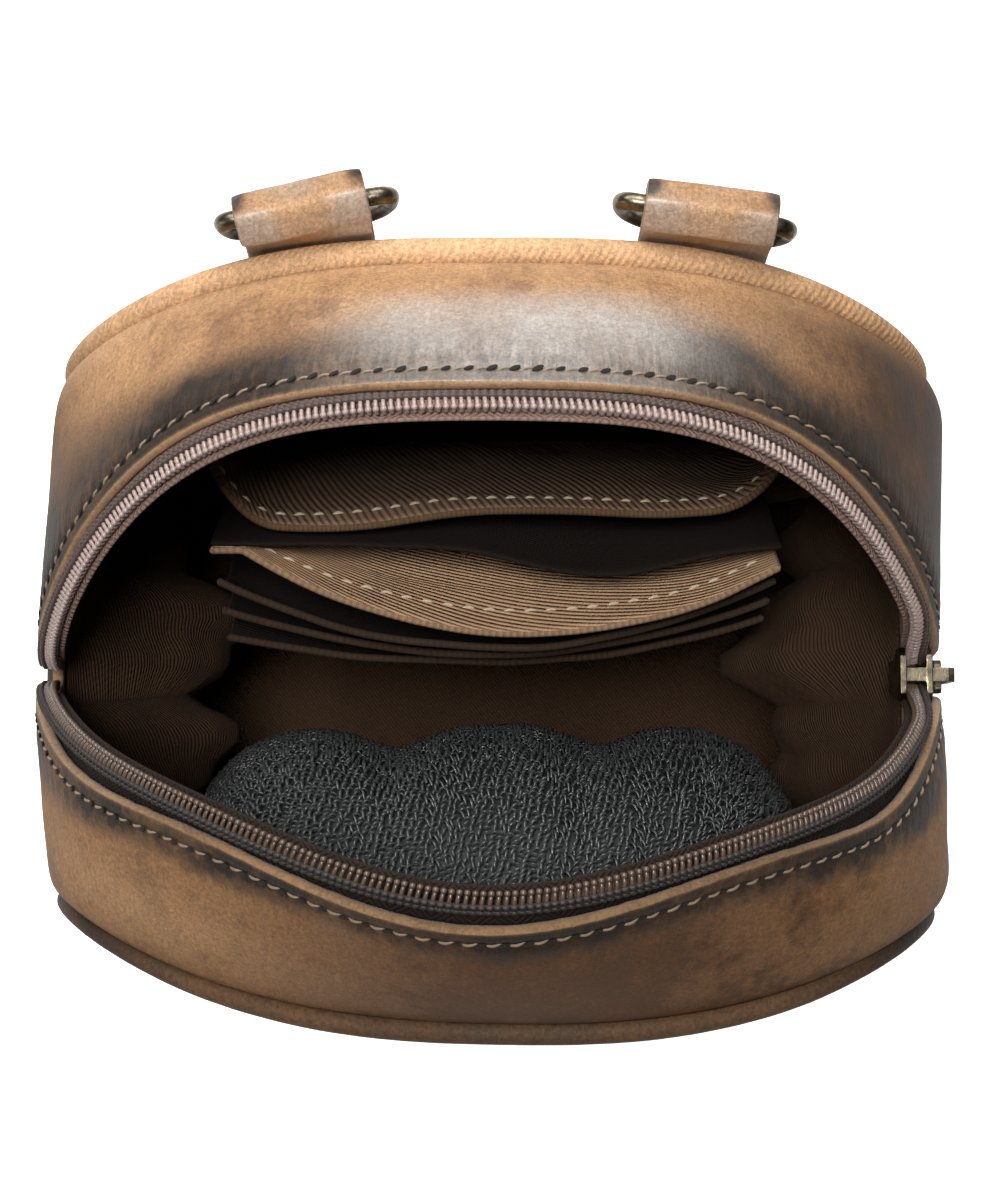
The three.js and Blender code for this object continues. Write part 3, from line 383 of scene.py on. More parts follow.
def sweep(name, centres, radius, material, sides, closed=False):
    """A round bar through millimetre points, with frames carried along it."""
    centres = np.asarray(centres, float)
    count = len(centres)
    if closed:
        tangent = unit(np.roll(centres, -1, axis=0) - np.roll(centres, 1, axis=0))
    else:
        tangent = unit(np.gradient(centres, axis=0))
    side = np.cross(tangent[0], (0, 0, 1.0))
    side = unit(side if np.linalg.norm(side) > 1e-3 else np.cross(tangent[0], (0, 1.0, 0)))
    vertices, faces = [], []
    for i in range(count):
        side = unit(side - tangent[i] * np.dot(side, tangent[i]))
        up = np.cross(tangent[i], side)
        for k in range(sides):
            a = 2 * math.pi * k / sides
            vertices.append(centres[i] + radius * (math.cos(a) * side + math.sin(a) * up))
    for i in range(count if closed else count - 1):
        first, following = i * sides, (i + 1) % count * sides
        for k in range(sides):
            m = (k + 1) % sides
            faces.append((first + k, first + m, following + m, following + k))
    if not closed:
        faces += [tuple(range(sides - 1, -1, -1)), tuple((count - 1) * sides + k for k in range(sides))]
    return outward(new_object(name, np.array(vertices) * MM, faces, [material]))


def settle(piece, body, slot, *nodes):
    """Puts a finished piece on its body and hides the solids that it stands for."""
    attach(piece, body)
    if nodes:
        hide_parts(*nodes)


def declare_cloth(piece):
    """Reads a cloth wall's flat coordinates and does nothing more with them."""
    mesh = piece.data
    uv = np.zeros(len(mesh.loops) * 2)
    mesh.uv_layers["weave"].data.foreach_get("uv", uv)


# ---------------------------------------------------------------- shader groups


def socket(tree, name, kind, into=True, default=None):
    made = tree.interface.new_socket(name=name, in_out="INPUT" if into else "OUTPUT", socket_type=kind)
    if default is not None:
        made.default_value = default
    return made


class Nodes:
    """Short calls for building a node tree."""

    def __init__(self, tree):
        self.tree = tree

    def add(self, kind, inputs=None, **settings):
        node = self.tree.nodes.new(kind)
        for key, value in settings.items():
            setattr(node, key, value)
        for key, value in (inputs or {}).items():
            self.feed(node.inputs[key], value)
        return node

    def feed(self, target, value):
        if isinstance(value, bpy.types.NodeSocket):
            self.tree.links.new(value, target)
        elif value is not None:
            target.default_value = value

    def math(self, operation, a, b=None, c=None):
        node = self.add("ShaderNodeMath", operation=operation)
        for target, value in zip(node.inputs, (a, b, c)):
            self.feed(target, value)
        return node.outputs[0]

    def plus(self, a, b):
        return self.math("ADD", a, b)

    def minus(self, a, b):
        return self.math("SUBTRACT", a, b)

    def times(self, a, b):
        return self.math("MULTIPLY", a, b)

    def vector(self, **axes):
        return self.add("ShaderNodeCombineXYZ", axes).outputs[0]

    def grey(self, value):
        return self.add("ShaderNodeCombineColor", {"Red": value, "Green": value, "Blue": value}).outputs[0]

    def mask(self, name):
        return self.add("ShaderNodeAttribute", attribute_name=name).outputs["Fac"]

    def place(self):
        return self.add("ShaderNodeTexCoord").outputs["Object"]

    def flat_place(self):
        return self.add("ShaderNodeUVMap", uv_map="weave").outputs[0]

    def mix(self, amount, a, b, blend="MIX"):
        node = self.add("ShaderNodeMix", data_type="RGBA", blend_type=blend, clamp_factor=True)
        self.feed(node.inputs[0], amount)
        self.feed(node.inputs[6], a)
        self.feed(node.inputs[7], b)
        return node.outputs[2]

    def ramp(self, value, low, high, to_low=0.0, to_high=1.0):
        node = self.add("ShaderNodeMapRange", clamp=True)
        for target, given in zip(node.inputs, (value, low, high, to_low, to_high)):
            self.feed(target, given)
        return node.outputs[0]

    def noise(self, vector, scale, detail=3.0, roughness=0.55):
        node = self.add("ShaderNodeTexNoise", {"Vector": vector, "Scale": scale, "Detail": detail,
                                               "Roughness": roughness})
        return node.outputs["Fac"]


def spaced(key):
    return key.replace("_", " ")


def group_tree(name, outputs, **numbers):
    """A shader group that takes a vector and named numbers. Returns its nodes, inputs and outputs."""
    n = Nodes(bpy.data.node_groups.new(name, "ShaderNodeTree"))
    socket(n.tree, "Vector", "NodeSocketVector")
    for key, value in numbers.items():
        socket(n.tree, spaced(key), "NodeSocketFloat", default=value)
    for key in outputs:
        socket(n.tree, key, "NodeSocketFloat", into=False)
    return n, n.tree.nodes.new("NodeGroupInput").outputs, n.tree.nodes.new("NodeGroupOutput").inputs


def make_mottle_group():
    """Soft blotches, smears across the run and fine speckle of a worn hide, each about one half."""
    n, taken, given = group_tree("Hide Mottle", ("Blotch", "Speckle"), Large=42.0, Speckle_Size=1300.0)
    vector = taken["Vector"]
    large = n.noise(vector, taken["Large"], 4.0, 0.6)
    stretched = n.add("ShaderNodeMapping", {"Vector": vector, "Scale": (1.0, 0.4, 0.4)})
    smear = n.noise(stretched.outputs[0], 150.0, 4.0, 0.65)
    small = n.noise(vector, 380.0, 3.0, 0.65)
    blotch = n.plus(n.times(large, 0.5), n.times(smear, 0.28))
    n.feed(given["Blotch"], n.plus(blotch, n.times(small, 0.22)))
    n.feed(given["Speckle"], n.noise(vector, taken["Speckle Size"], 3.0, 0.75))
    return n.tree


def make_grain_group():
    """Leather grain: fine pebbled cells with creases between them, and long fine wrinkles."""
    n, taken, given = group_tree("Hide Grain", ("Height",), Cells=1500.0, Wrinkle=0.4)
    bend = n.add("ShaderNodeTexNoise", {"Vector": taken["Vector"], "Scale": 160.0, "Detail": 2.0})
    shifted = n.add("ShaderNodeVectorMath", {0: bend.outputs["Color"], 1: (0.004, 0.004, 0.004),
                                             2: taken["Vector"]}, operation="MULTIPLY_ADD")
    cells = n.add("ShaderNodeTexVoronoi", {"Vector": shifted.outputs[0], "Scale": taken["Cells"]},
                  feature="DISTANCE_TO_EDGE")
    pebble = n.ramp(cells.outputs["Distance"], 0.0, 0.28)
    long_way = n.add("ShaderNodeMapping", {"Vector": taken["Vector"], "Scale": (1.0, 0.2, 0.2)})
    crease = n.noise(long_way.outputs[0], 620.0, 4.0, 0.6)
    folded = n.math("ABSOLUTE", n.minus(crease, 0.5))
    fine = n.noise(taken["Vector"], 2600.0, 2.0)
    wrinkle = n.times(n.ramp(folded, 0.0, 0.09), taken["Wrinkle"])
    height = n.plus(n.times(pebble, 0.3), wrinkle)
    n.feed(given["Height"], n.plus(height, n.times(fine, 0.3)))
    return n.tree


def make_weave_group():
    """Twill ribs on a piece's own flat coordinates, turned to and fro as herringbone, with single yarns."""
    n, taken, given = group_tree("Twill Ribs", ("Height", "Shade"), Rib_Pitch=0.0011, Chevron=0.009, Slope=0.8)
    split = n.add("ShaderNodeSeparateXYZ", {"Vector": taken["Vector"]})
    u, v = split.outputs[0], split.outputs[1]
    slope = taken["Slope"]
    turned = n.math("PINGPONG", u, taken["Chevron"])
    lean = n.math("SQRT", n.math("MULTIPLY_ADD", slope, slope, 1.0))
    size = n.times(lean, taken["Rib Pitch"])
    phase = n.math("DIVIDE", n.math("MULTIPLY_ADD", turned, slope, v), size)
    rib = n.math("MULTIPLY_ADD", n.math("SINE", n.times(phase, math.tau)), 0.5, 0.5)
    along = n.math("DIVIDE", n.minus(turned, n.times(v, slope)), size)
    yarn = n.math("MULTIPLY_ADD", n.math("SINE", n.times(along, math.tau * 1.6)), 0.5, 0.5)
    slub = n.noise(taken["Vector"], 900.0, 3.0, 0.7)
    rounded = n.math("POWER", rib, 0.6)
    height = n.plus(n.times(rounded, 0.7), n.times(n.times(rounded, yarn), 0.3))
    n.feed(given["Height"], height)
    shade = n.times(n.math("MULTIPLY_ADD", rounded, 0.62, 0.38), n.math("MULTIPLY_ADD", slub, 0.8, 0.6))
    n.feed(given["Shade"], shade)
    return n.tree


def material_tree(name, **constants):
    """A material with one shader, whose constant values are set on the shader's own sockets."""
    material = bpy.data.materials.new(name)
    material.use_nodes = True
    material.node_tree.nodes.clear()
    n = Nodes(material.node_tree)
    bsdf = n.add("ShaderNodeBsdfPrincipled")
    result = n.add("ShaderNodeOutputMaterial")
    n.tree.links.new(bsdf.outputs[0], result.inputs[0])
    for key, value in constants.items():
        bsdf.inputs[spaced(key)].default_value = value
    return material, n, bsdf


def place_group(n, tree, **inputs):
    node = n.add("ShaderNodeGroup", node_tree=tree)
    for key, value in inputs.items():
        n.feed(node.inputs[spaced(key)], value)
    return node


def bump(n, bsdf, height, distance, strength):
    node = n.add("ShaderNodeBump", {"Height": height, "Distance": distance, "Strength": strength})
    n.feed(bsdf.inputs["Normal"], node.outputs[0])


def rgba(colour, share=1.0):
    return (*(channel * share for channel in colour[:3]), 1.0)


def leather_material(name, settings, groups, tan=None, relief=1.0, mottled=2.2, ribbed=False):
    """Pull-up leather: tan that darkens under the wax mask, rubbed pale under the worn mask, which on the tabs
    also carries painted light. A pale painted reflection is mixed in, and the coat is laid, where the coat mask
    lies.
    """
    material, n, bsdf = material_tree(name, Specular_IOR_Level=0.14, Coat_Roughness=0.36)
    place = n.place()
    mottle = place_group(n, groups["mottle"], Vector=place)
    blotch, speckle = mottle.outputs["Blotch"], mottle.outputs["Speckle"]
    grain = place_group(n, groups["grain"], Vector=place).outputs["Height"]
    wax = n.mask("wax")
    worn = n.mask("worn")
    uneven = n.times(n.minus(blotch, 0.5), mottled)
    wax_mask = n.ramp(n.plus(wax, uneven), 0.1, 0.95)
    base = n.mix(n.ramp(blotch, 0.4, 0.6), rgba(settings.tan_dark), rgba(tan or settings.tan))
    soaked = n.plus(n.mask("deep"), uneven)
    base = n.mix(n.ramp(soaked, 0.1, 0.95), base, rgba(settings.deep))
    base = n.mix(wax_mask, base, rgba(settings.wax))
    base = n.mix(n.times(worn, n.ramp(blotch, 0.36, 0.54, 0.6, 1.0)), base, rgba(settings.worn))
    # A pale painted reflection of the lights is mixed into the colour where the coat mask lies.
    coat_and_painted_reflection = n.mask("coat_and_painted_reflection")
    base = n.mix(n.times(coat_and_painted_reflection, n.ramp(blotch, 0.36, 0.62, 0.3, 0.8)), base, rgba(settings.painted_reflection))
    tone = n.times(n.ramp(speckle, 0.34, 0.66, 0.7, 1.25), n.ramp(grain, 0.1, 0.8, 0.86, 1.05))
    uv = n.flat_place()
    drawn = n.add("ShaderNodeVectorMath", {0: uv, 1: (1.0, 0.16, 1.0)}, operation="MULTIPLY").outputs[0]
    # The creases beside the stitch line are darkened in colour as painted shade, and raised in the bump.
    crease = n.mask("crease")
    gather = n.noise(drawn, 700.0, 3.0)
    furrow_shade = n.times(crease, n.ramp(gather, 0.42, 0.58, 0.3, 0.0))
    tone = n.times(tone, n.minus(1.0, furrow_shade))
    n.feed(bsdf.inputs["Base Color"], n.mix(1.0, base, n.grey(tone), blend="MULTIPLY"))
    dull = n.plus(0.7, n.times(n.minus(speckle, 0.5), 0.35))
    rough = n.minus(dull, n.times(wax_mask, 0.1))
    n.feed(bsdf.inputs["Roughness"], rough)
    n.feed(bsdf.inputs["Coat Weight"], n.times(coat_and_painted_reflection, n.ramp(blotch, 0.38, 0.58, 0.75, 1.0)))
    height = n.plus(grain, n.times(crease, n.times(gather, 6.5)))
    if ribbed:
        split = n.add("ShaderNodeSeparateXYZ", {"Vector": uv})
        leaning = n.plus(split.outputs[0], n.times(split.outputs[1], 0.5))
        phase = n.plus(n.times(leaning, math.tau / RIM_RIB), n.times(blotch, 9.0))
        rib = n.mask("rib")
        height = n.plus(height, n.times(rib, n.times(n.math("SINE", phase), 0.55)))
    bump(n, bsdf, height, 0.00016, 0.7 * relief)
    return material


def raw_leather_material(name, colour, groups):
    """The fibrous cut edge and flesh side of the leather."""
    material, n, bsdf = material_tree(name, Roughness=0.9, Sheen_Weight=0.15)
    place = n.place()
    fibre = n.noise(place, 1500.0, 4.0, 0.7)
    blotch = place_group(n, groups["mottle"], Vector=place).outputs["Blotch"]
    pale = n.ramp(n.plus(fibre, blotch), 0.8, 1.1)
    n.feed(bsdf.inputs["Base Color"], n.mix(pale, rgba(colour, 0.5), rgba(colour)))
    bump(n, bsdf, fibre, 0.0004, 0.6)
    return material


PLAIN_TWILL = 9.0


def twill_material(name, colour, groups, pitch, chevron=PLAIN_TWILL, slope=0.8, lift=0.0003, furrow_shade=0.5):
    """Twill, or herringbone where chevron is narrow. A plain twill's chevron is too wide to turn."""
    material, n, bsdf = material_tree(name, Roughness=0.88, Specular_IOR_Level=0.25)
    uv = n.flat_place()
    place = n.place()
    weave = place_group(n, groups["weave"], Vector=uv, Rib_Pitch=pitch, Chevron=chevron, Slope=slope)
    blotch = place_group(n, groups["mottle"], Vector=place).outputs["Blotch"]
    tone = n.mix(weave.outputs["Shade"], rgba(colour, furrow_shade), rgba(colour))
    light = n.ramp(blotch, 0.3, 0.7, 0.82, 1.18)
    n.feed(bsdf.inputs["Base Color"], n.mix(1.0, tone, n.grey(light), blend="MULTIPLY"))
    bump(n, bsdf, weave.outputs["Height"], lift, 0.9)
    return material


def thread_material(name, colour, roughness):
    material, n, bsdf = material_tree(name, Roughness=roughness)
    place = n.place()
    ply = n.noise(place, 2600.0, 2.0)
    n.feed(bsdf.inputs["Base Color"], n.mix(ply, rgba(colour, 0.6), rgba(colour)))
    bump(n, bsdf, ply, 0.0001, 0.5)
    return material


def metal_material(name, colour, dark):
    """Antique brass: bright where it is rubbed, dark in its patina."""
    material, n, bsdf = material_tree(name, Metallic=1.0)
    place = n.place()
    patina = n.noise(place, 260.0, 5.0, 0.65)
    speck = n.noise(place, 1900.0, 3.0, 0.7)
    mask = n.ramp(n.plus(n.times(patina, 0.7), n.times(speck, 0.3)), 0.38, 0.62)
    n.feed(bsdf.inputs["Base Color"], n.mix(mask, rgba(dark), rgba(colour)))
    n.feed(bsdf.inputs["Roughness"], n.ramp(mask, 0.0, 1.0, 0.46, 0.26))
    bump(n, bsdf, speck, 0.00006, 0.5)
    return material


def plastic_material(name, colour):
    material, n, bsdf = material_tree(name, Specular_IOR_Level=0.6)
    place = n.place()
    wear = n.noise(place, 700.0, 3.0, 0.6)
    n.feed(bsdf.inputs["Base Color"], n.mix(wear, rgba(colour, 0.7), rgba(colour)))
    n.feed(bsdf.inputs["Roughness"], n.ramp(wear, 0.3, 0.7, 0.24, 0.4))
    return material


# ---------------------------------------------------------------- geometry nodes


class GeoTree(Nodes):
    """A geometry node tree with named numbers and a finish, ending in real mesh."""

    def __init__(self, name, **numbers):
        super().__init__(bpy.data.node_groups.new(name, "GeometryNodeTree"))
        self.tree.is_modifier = True
        socket(self.tree, "Geometry", "NodeSocketGeometry")
        for key, value in numbers.items():
            kind = "NodeSocketInt" if isinstance(value, int) else "NodeSocketFloat"
            socket(self.tree, spaced(key), kind, default=value)
        socket(self.tree, "Finish", "NodeSocketMaterial")
        socket(self.tree, "Geometry", "NodeSocketGeometry", into=False)
        self.given = self.tree.nodes.new("NodeGroupInput").outputs
        self.result = self.tree.nodes.new("NodeGroupOutput")

    def close(self, geometry):
        real = self.add("GeometryNodeRealizeInstances", {"Geometry": geometry})
        painted = self.add("GeometryNodeSetMaterial", {"Geometry": real.outputs[0],
                                                       "Material": self.given["Finish"]})
        self.feed(self.result.inputs["Geometry"], painted.outputs[0])
        return self.tree


def tube(n, curve, radius, sides):
    ring = n.add("GeometryNodeCurvePrimitiveCircle", {"Resolution": sides, "Radius": radius}).outputs[0]
    return n.add("GeometryNodeCurveToMesh", {"Curve": curve, "Profile Curve": ring,
                                             "Fill Caps": True}).outputs[0]


def bowed(n, start, middle, end, steps, radius, sides):
    """A smooth-shaded piece of thread that rises from its two ends."""
    bow = n.add("GeometryNodeCurveQuadraticBezier", {"Resolution": steps, "Start": start, "Middle": middle,
                                                     "End": end})
    return n.add("GeometryNodeSetShadeSmooth", {"Geometry": tube(n, bow.outputs[0], radius, sides)})


def place_on_points(n, shape, slant, jitter, size_jitter):
    """Instances of shape with X along the point's run and Z standing out of the surface."""
    along = n.add("GeometryNodeInputNamedAttribute", {"Name": "along"}, data_type="FLOAT_VECTOR").outputs[0]
    out = n.add("GeometryNodeInputNamedAttribute", {"Name": "out"}, data_type="FLOAT_VECTOR").outputs[0]
    first = n.add("FunctionNodeAlignRotationToVector", {"Vector": along}, axis="X")
    second = n.add("FunctionNodeAlignRotationToVector", {"Rotation": first.outputs[0], "Vector": out},
                   axis="Z", pivot_axis="X")
    turn = n.add("FunctionNodeRandomValue", {"Seed": n.given["Seed"]}, data_type="FLOAT")
    n.feed(turn.inputs[2], n.minus(slant, jitter))
    n.feed(turn.inputs[3], n.plus(slant, jitter))
    size = n.add("FunctionNodeRandomValue", {"Seed": n.given["Seed"]}, data_type="FLOAT")
    n.feed(size.inputs[2], n.minus(1.0, size_jitter))
    n.feed(size.inputs[3], n.plus(1.0, size_jitter))
    placed = n.add("GeometryNodeInstanceOnPoints", {"Points": n.given["Geometry"], "Instance": shape,
                                                    "Rotation": second.outputs[0], "Scale": size.outputs[1]})
    turned = n.add("GeometryNodeRotateInstances", {"Instances": placed.outputs[0],
                                                   "Rotation": n.vector(Z=turn.outputs[1])})
    return turned.outputs[0]


def make_stitch_tree():
    """A lock stitch on each point: a plump thread that dives into the leather at both ends."""
    n = GeoTree("Lock Stitches", Stitch_Length=0.003, Thread_Radius=0.00035, Slant=0.17, Slant_Jitter=0.08,
                Size_Jitter=0.06, Seed=3)
    given = n.given
    half = n.times(given["Stitch Length"], 0.5)
    deep = n.times(given["Thread Radius"], -1.6)
    high = n.times(given["Thread Radius"], 2.6)
    start = n.vector(X=n.times(half, -1.0), Z=deep)
    end = n.vector(X=half, Z=deep)
    middle = n.vector(Z=high)
    soft = bowed(n, start, middle, end, 6, given["Thread Radius"], 7)
    placed = place_on_points(n, soft.outputs[0], given["Slant"], given["Slant Jitter"], given["Size Jitter"])
    return n.close(placed)


def make_hole_tree():
    """A needle hole pressed into the leather on each point."""
    n = GeoTree("Needle Holes", Radius=0.0005, Seed=5)
    given = n.given
    ball = n.add("GeometryNodeMeshIcoSphere", {"Radius": given["Radius"], "Subdivisions": 2})
    flat = n.add("GeometryNodeTransform", {"Geometry": ball.outputs[0], "Scale": (1.45, 0.75, 0.3)})
    placed = place_on_points(n, flat.outputs[0], 0.4, 0.15, 0.15)
    return n.close(placed)


def make_coil_tree():
    """One turn of the zip's spiral on each point, leaning a little as wound wire does."""
    n = GeoTree("Coil Turns", Half_Width=0.0021, Half_Height=0.0014, Wire_Radius=0.00055, Lean=0.12,
                Head_Side=1.0, Seed=7)
    given = n.given
    ring = n.add("GeometryNodeCurvePrimitiveCircle", {"Resolution": 12, "Radius": 1.0})
    upright = n.add("GeometryNodeTransform", {"Geometry": ring.outputs[0], "Rotation": (0.0, math.pi / 2, 0.0)})
    wide = n.minus(given["Half Width"], given["Wire Radius"])
    high = n.minus(given["Half Height"], given["Wire Radius"])
    size = n.vector(X=1.0, Y=wide, Z=high)
    sized = n.add("GeometryNodeTransform", {"Geometry": upright.outputs[0], "Scale": size})
    wire = tube(n, sized.outputs[0], given["Wire Radius"], 6)
    head = n.add("GeometryNodeMeshIcoSphere", {"Radius": n.times(given["Wire Radius"], 1.45),
                                               "Subdivisions": 2})
    inwards = n.times(n.plus(wide, n.times(given["Wire Radius"], 0.2)), given["Head Side"])
    seat = n.vector(Y=inwards, Z=n.times(high, 0.45))
    headed = n.add("GeometryNodeTransform", {"Geometry": head.outputs[0], "Translation": seat})
    both = n.add("GeometryNodeJoinGeometry")
    n.tree.links.new(wire, both.inputs[0])
    n.tree.links.new(headed.outputs[0], both.inputs[0])
    soft = n.add("GeometryNodeSetShadeSmooth", {"Geometry": both.outputs[0]})
    placed = place_on_points(n, soft.outputs[0], given["Lean"], 0.015, 0.015)
    return n.close(placed)


def make_knit_tree():
    """One fat loop of yarn on each point, set across the run so that the rows bead up."""
    n = GeoTree("Knit Loops", Loop_Length=0.0034, Yarn_Radius=0.00034, Rise=0.0009, Slant_Jitter=0.5,
                Seed=11)
    given = n.given
    half = n.times(given["Loop Length"], 0.5)
    start = n.vector(X=n.times(half, -1.0), Y=-0.0005)
    end = n.vector(X=half, Y=0.0005)
    middle = n.vector(Z=n.times(given["Rise"], 2.0))
    soft = bowed(n, start, middle, end, 3, given["Yarn Radius"], 3)
    placed = place_on_points(n, soft.outputs[0], 0.35, given["Slant Jitter"], 0.3)
    return n.close(placed)


def repeat(name, tree, places, along, out, **inputs):
    """Runs a repeat tree on points given in millimetres and keeps the result as plain mesh."""
    mesh = bpy.data.meshes.new(name + "_points")
    mesh.from_pydata([tuple(p) for p in np.asarray(places) * MM], [], [])
    for key, values in (("along", along), ("out", out)):
        layer = mesh.attributes.new(key, "FLOAT_VECTOR", "POINT")
        layer.data.foreach_set("vector", unit(np.asarray(values, float)).ravel())
    holder = bpy.data.objects.new(name + "_points", mesh)
    bpy.context.scene.collection.objects.link(holder)
    modifier = holder.modifiers.new("repeat", "NODES")
    modifier.node_group = tree
    for item in tree.interface.items_tree:
        if item.item_type == "SOCKET" and item.in_out == "INPUT" and item.name in inputs:
            modifier[item.identifier] = inputs[item.name]
    bpy.context.view_layer.update()
    graph = bpy.context.evaluated_depsgraph_get()
    made = bpy.data.meshes.new_from_object(holder.evaluated_get(graph))
    made.name = name
    holder.modifiers.remove(modifier)
    bpy.data.objects.remove(holder)
    piece = bpy.data.objects.new(name, made)
    bpy.context.scene.collection.objects.link(piece)
    if not len(made.polygons):
        raise RuntimeError(f"{name}: the repeat tree made nothing")
    return piece


def evenly(points, pitch, start=0.0):
    """Positions along a line of points at an even pitch, as fractional indices."""
    length = run_length(points)
    return np.interp(np.arange(start, length[-1], pitch), length, np.arange(len(points)))


def pick(values, where):
    low = np.clip(np.floor(where).astype(int), 0, len(values) - 2)
    part = (where - low)[:, None]
    return values[low] * (1 - part) + values[low + 1] * part


def pick_grid(grid, rows, columns):
    """Values of a point grid at fractional rows and columns."""
    i = np.clip(np.floor(rows).astype(int), 0, grid.shape[0] - 2)
    j = np.clip(np.floor(columns).astype(int), 0, grid.shape[1] - 2)
    a, b = (rows - i)[:, None], (columns - j)[:, None]
    near = grid[i, j] * (1 - b) + grid[i, j + 1] * b
    return near * (1 - a) + (grid[i + 1, j] * (1 - b) + grid[i + 1, j + 1] * b) * a


def sew(name, line, out, where, slot, length, radius, slant, finish):
    """Stitches at fractional places along a line, out of the surface that carries them."""
    piece = repeat(name, TREES["stitch"], pick(line, where), pick(np.gradient(line, axis=0), where),
                   pick(out, where), **{"Stitch Length": length * MM, "Thread Radius": radius * MM,
                                        "Slant": slant, "Finish": finish})
    settle(piece, "bag", slot)


# ---------------------------------------------------------------- what a user may change


def colour_property(name, description, hexadecimal):
    channels = [int(hexadecimal[i:i + 2], 16) / 255 for i in (0, 2, 4)]
    linear = [c / 12.92 if c <= 0.04045 else ((c + 0.055) / 1.055) ** 2.4 for c in channels]
    return bpy.props.FloatVectorProperty(name=name, description=description, subtype="COLOR", size=3,
                                         min=0, max=1, default=linear)


def length_property(name, description, millimetres):
    return bpy.props.FloatProperty(name=name, description=description, unit="LENGTH", min=0,
                                   default=millimetres * MM, precision=5)


def number_property(name, description, default, least=0):
    return bpy.props.FloatProperty(name=name, description=description, default=default, min=least)


class LeatherSettings(bpy.types.PropertyGroup):
    """Colours and relief of the pull-up leather."""

    tan: colour_property("Tan", "Leather where the wax has been rubbed thin", "AE865E")
    tan_dark: colour_property("Dark tan", "Darker blotches in the tan", "7C5C42")
    deep: colour_property("Deep", "Warm dark brown where the oil has soaked in", "5E3F25")
    wax: colour_property("Wax", "Dark wax left along the zip and at the corners", "2F251E")
    worn: colour_property("Worn", "Pale leather on the rubbed rolled rim", "C39C76")
    # Pale colour that stands for reflected light: painted reflection.
    painted_reflection: colour_property("Painted reflection", "Pale bloom where the wax is pressed and polished", "ABA39B")
    tan_front: colour_property("Front tan", "Redder tan of the front", "A1764B")
    tab: colour_property("Tab", "Leather of the strap tabs", "A98667")
    raw: colour_property("Raw edge", "Cut edge and flesh side of the leather", "91704F")
    groove: length_property("Groove depth", "How deep the stitch line sinks into the leather", 0.45)
    wander: length_property("Waviness", "Soft unevenness of the leather", 0.55)


class StitchSettings(bpy.types.PropertyGroup):
    """The thread that closes the bag and hems its pockets."""

    pitch: length_property("Pitch", "Distance from stitch to stitch on the leather", 3.93)
    inset: length_property("Inset", "Distance of the stitch line from the leather's edge", 3.5)
    length: length_property("Stitch", "Length of one stitch", 2.7)
    radius: length_property("Thread", "Radius of the leather thread", 0.25)
    thread: colour_property("Thread colour", "Thread on the leather", "8C7A64")
    hem_thread: colour_property("Hem thread", "Light thread on the pocket hems", "D2C0A4")


class ZipSettings(bpy.types.PropertyGroup):
    """The spiral zip and its metal."""

    pitch: length_property("Coil pitch", "Distance from turn to turn", 1.3)
    wire: length_property("Coil wire", "Radius of the coil's wire", 0.4)
    coil: colour_property("Coil", "Nylon coil", "A08B84")
    tape: colour_property("Tape", "Herringbone tape", "8A7064")
    # The front coil, tape and coil sewing are darker copies of the same nylon and tape: painted shade on the
    # front half.
    coil_front: colour_property("Front coil painted shade", "Nylon of the front half, darkened with painted shade", "554439")
    tape_front_painted_shade: colour_property("Front tape painted shade", "Tape of the front half, darkened with painted shade", "211712")
    sewing: colour_property("Coil sewing", "Thread that sews the coil to its tape", "4A3A33")
    brass: colour_property("Brass", "Rubbed antique brass", "847A66")
    patina: colour_property("Patina", "Dark patina of the brass", "322E28")


class ClothSettings(bpy.types.PropertyGroup):
    """Lining, pockets and knit."""

    twill: colour_property("Twill", "Lining and pockets", "463121")
    # The pockets' hem edge is a little rubbed and lighter than the lining: painted light.
    edge: colour_property("Hem edge painted light", "Folded edge of the pockets, a little rubbed and lightened with painted light", "6A5039")
    # The slot edges and the organiser twill are darker copies of the lining twill: painted shade inside the
    # organiser.
    slot_edge_painted_shade: colour_property("Slot edge painted shade", "Folded edge of the card slots", "3B2D21")
    # The flap edge is a lighter copy of the lining twill: painted light on the organiser's flap.
    flap_edge_painted_light: colour_property("Flap edge painted light", "Folded edge of the organiser's flap", "9A7B60")
    twill_painted_shade: colour_property("Organiser twill painted shade", "Twill of the organiser's back and slots", "1C130D")
    # Lighter copy of the lining twill for the slip pocket, which lies in shade under the zip: painted light.
    band: colour_property("Slip pocket painted light", "Twill of the wide pocket behind the organiser, lightened with painted light", "A08068")
    # Much lighter copy of the lining twill for the organiser's flap: painted light.
    hem: colour_property("Hem band painted light", "Twill of the organiser's hem, lightened with painted light", "C8A07C")
    knit: colour_property("Knit", "Yarn of the knitted pocket", "404141")
    rib: length_property("Rib pitch", "Distance between the ribs of the twill", 1.1)
    wrinkle: length_property("Wrinkles", "Height of the soft wrinkles in the cloth", 1.4)
    loop: length_property("Knit pitch", "Distance between the knit's loops along a row", 1.42)


class StageSettings(bpy.types.PropertyGroup):
    """Floor, light and camera."""

    floor: colour_property("Floor", "Plain pale floor", "F6F6F6")
    key: number_property("Key light", "Power of the large soft light behind the bag", 4.0)
    side: number_property("Side light", "Power of the weak light at the left", 1.0)
    rear: number_property("Rear light", "Power of the large light that glosses the back", 10.0)
    top: number_property("Top light", "Power of the light that falls into the mouth", 11.5)
    ambient: number_property("Ambient", "Strength of the even light all round", 0.08)
    lens: number_property("Lens", "Focal length of the camera in millimetres", 70.8, least=1)


SETTINGS = {"bag_leather": LeatherSettings, "bag_stitches": StitchSettings, "bag_zip": ZipSettings,
            "bag_cloth": ClothSettings, "bag_stage": StageSettings}

FINISH = {}
TREES = {}


# ---------------------------------------------------------------- leather pieces


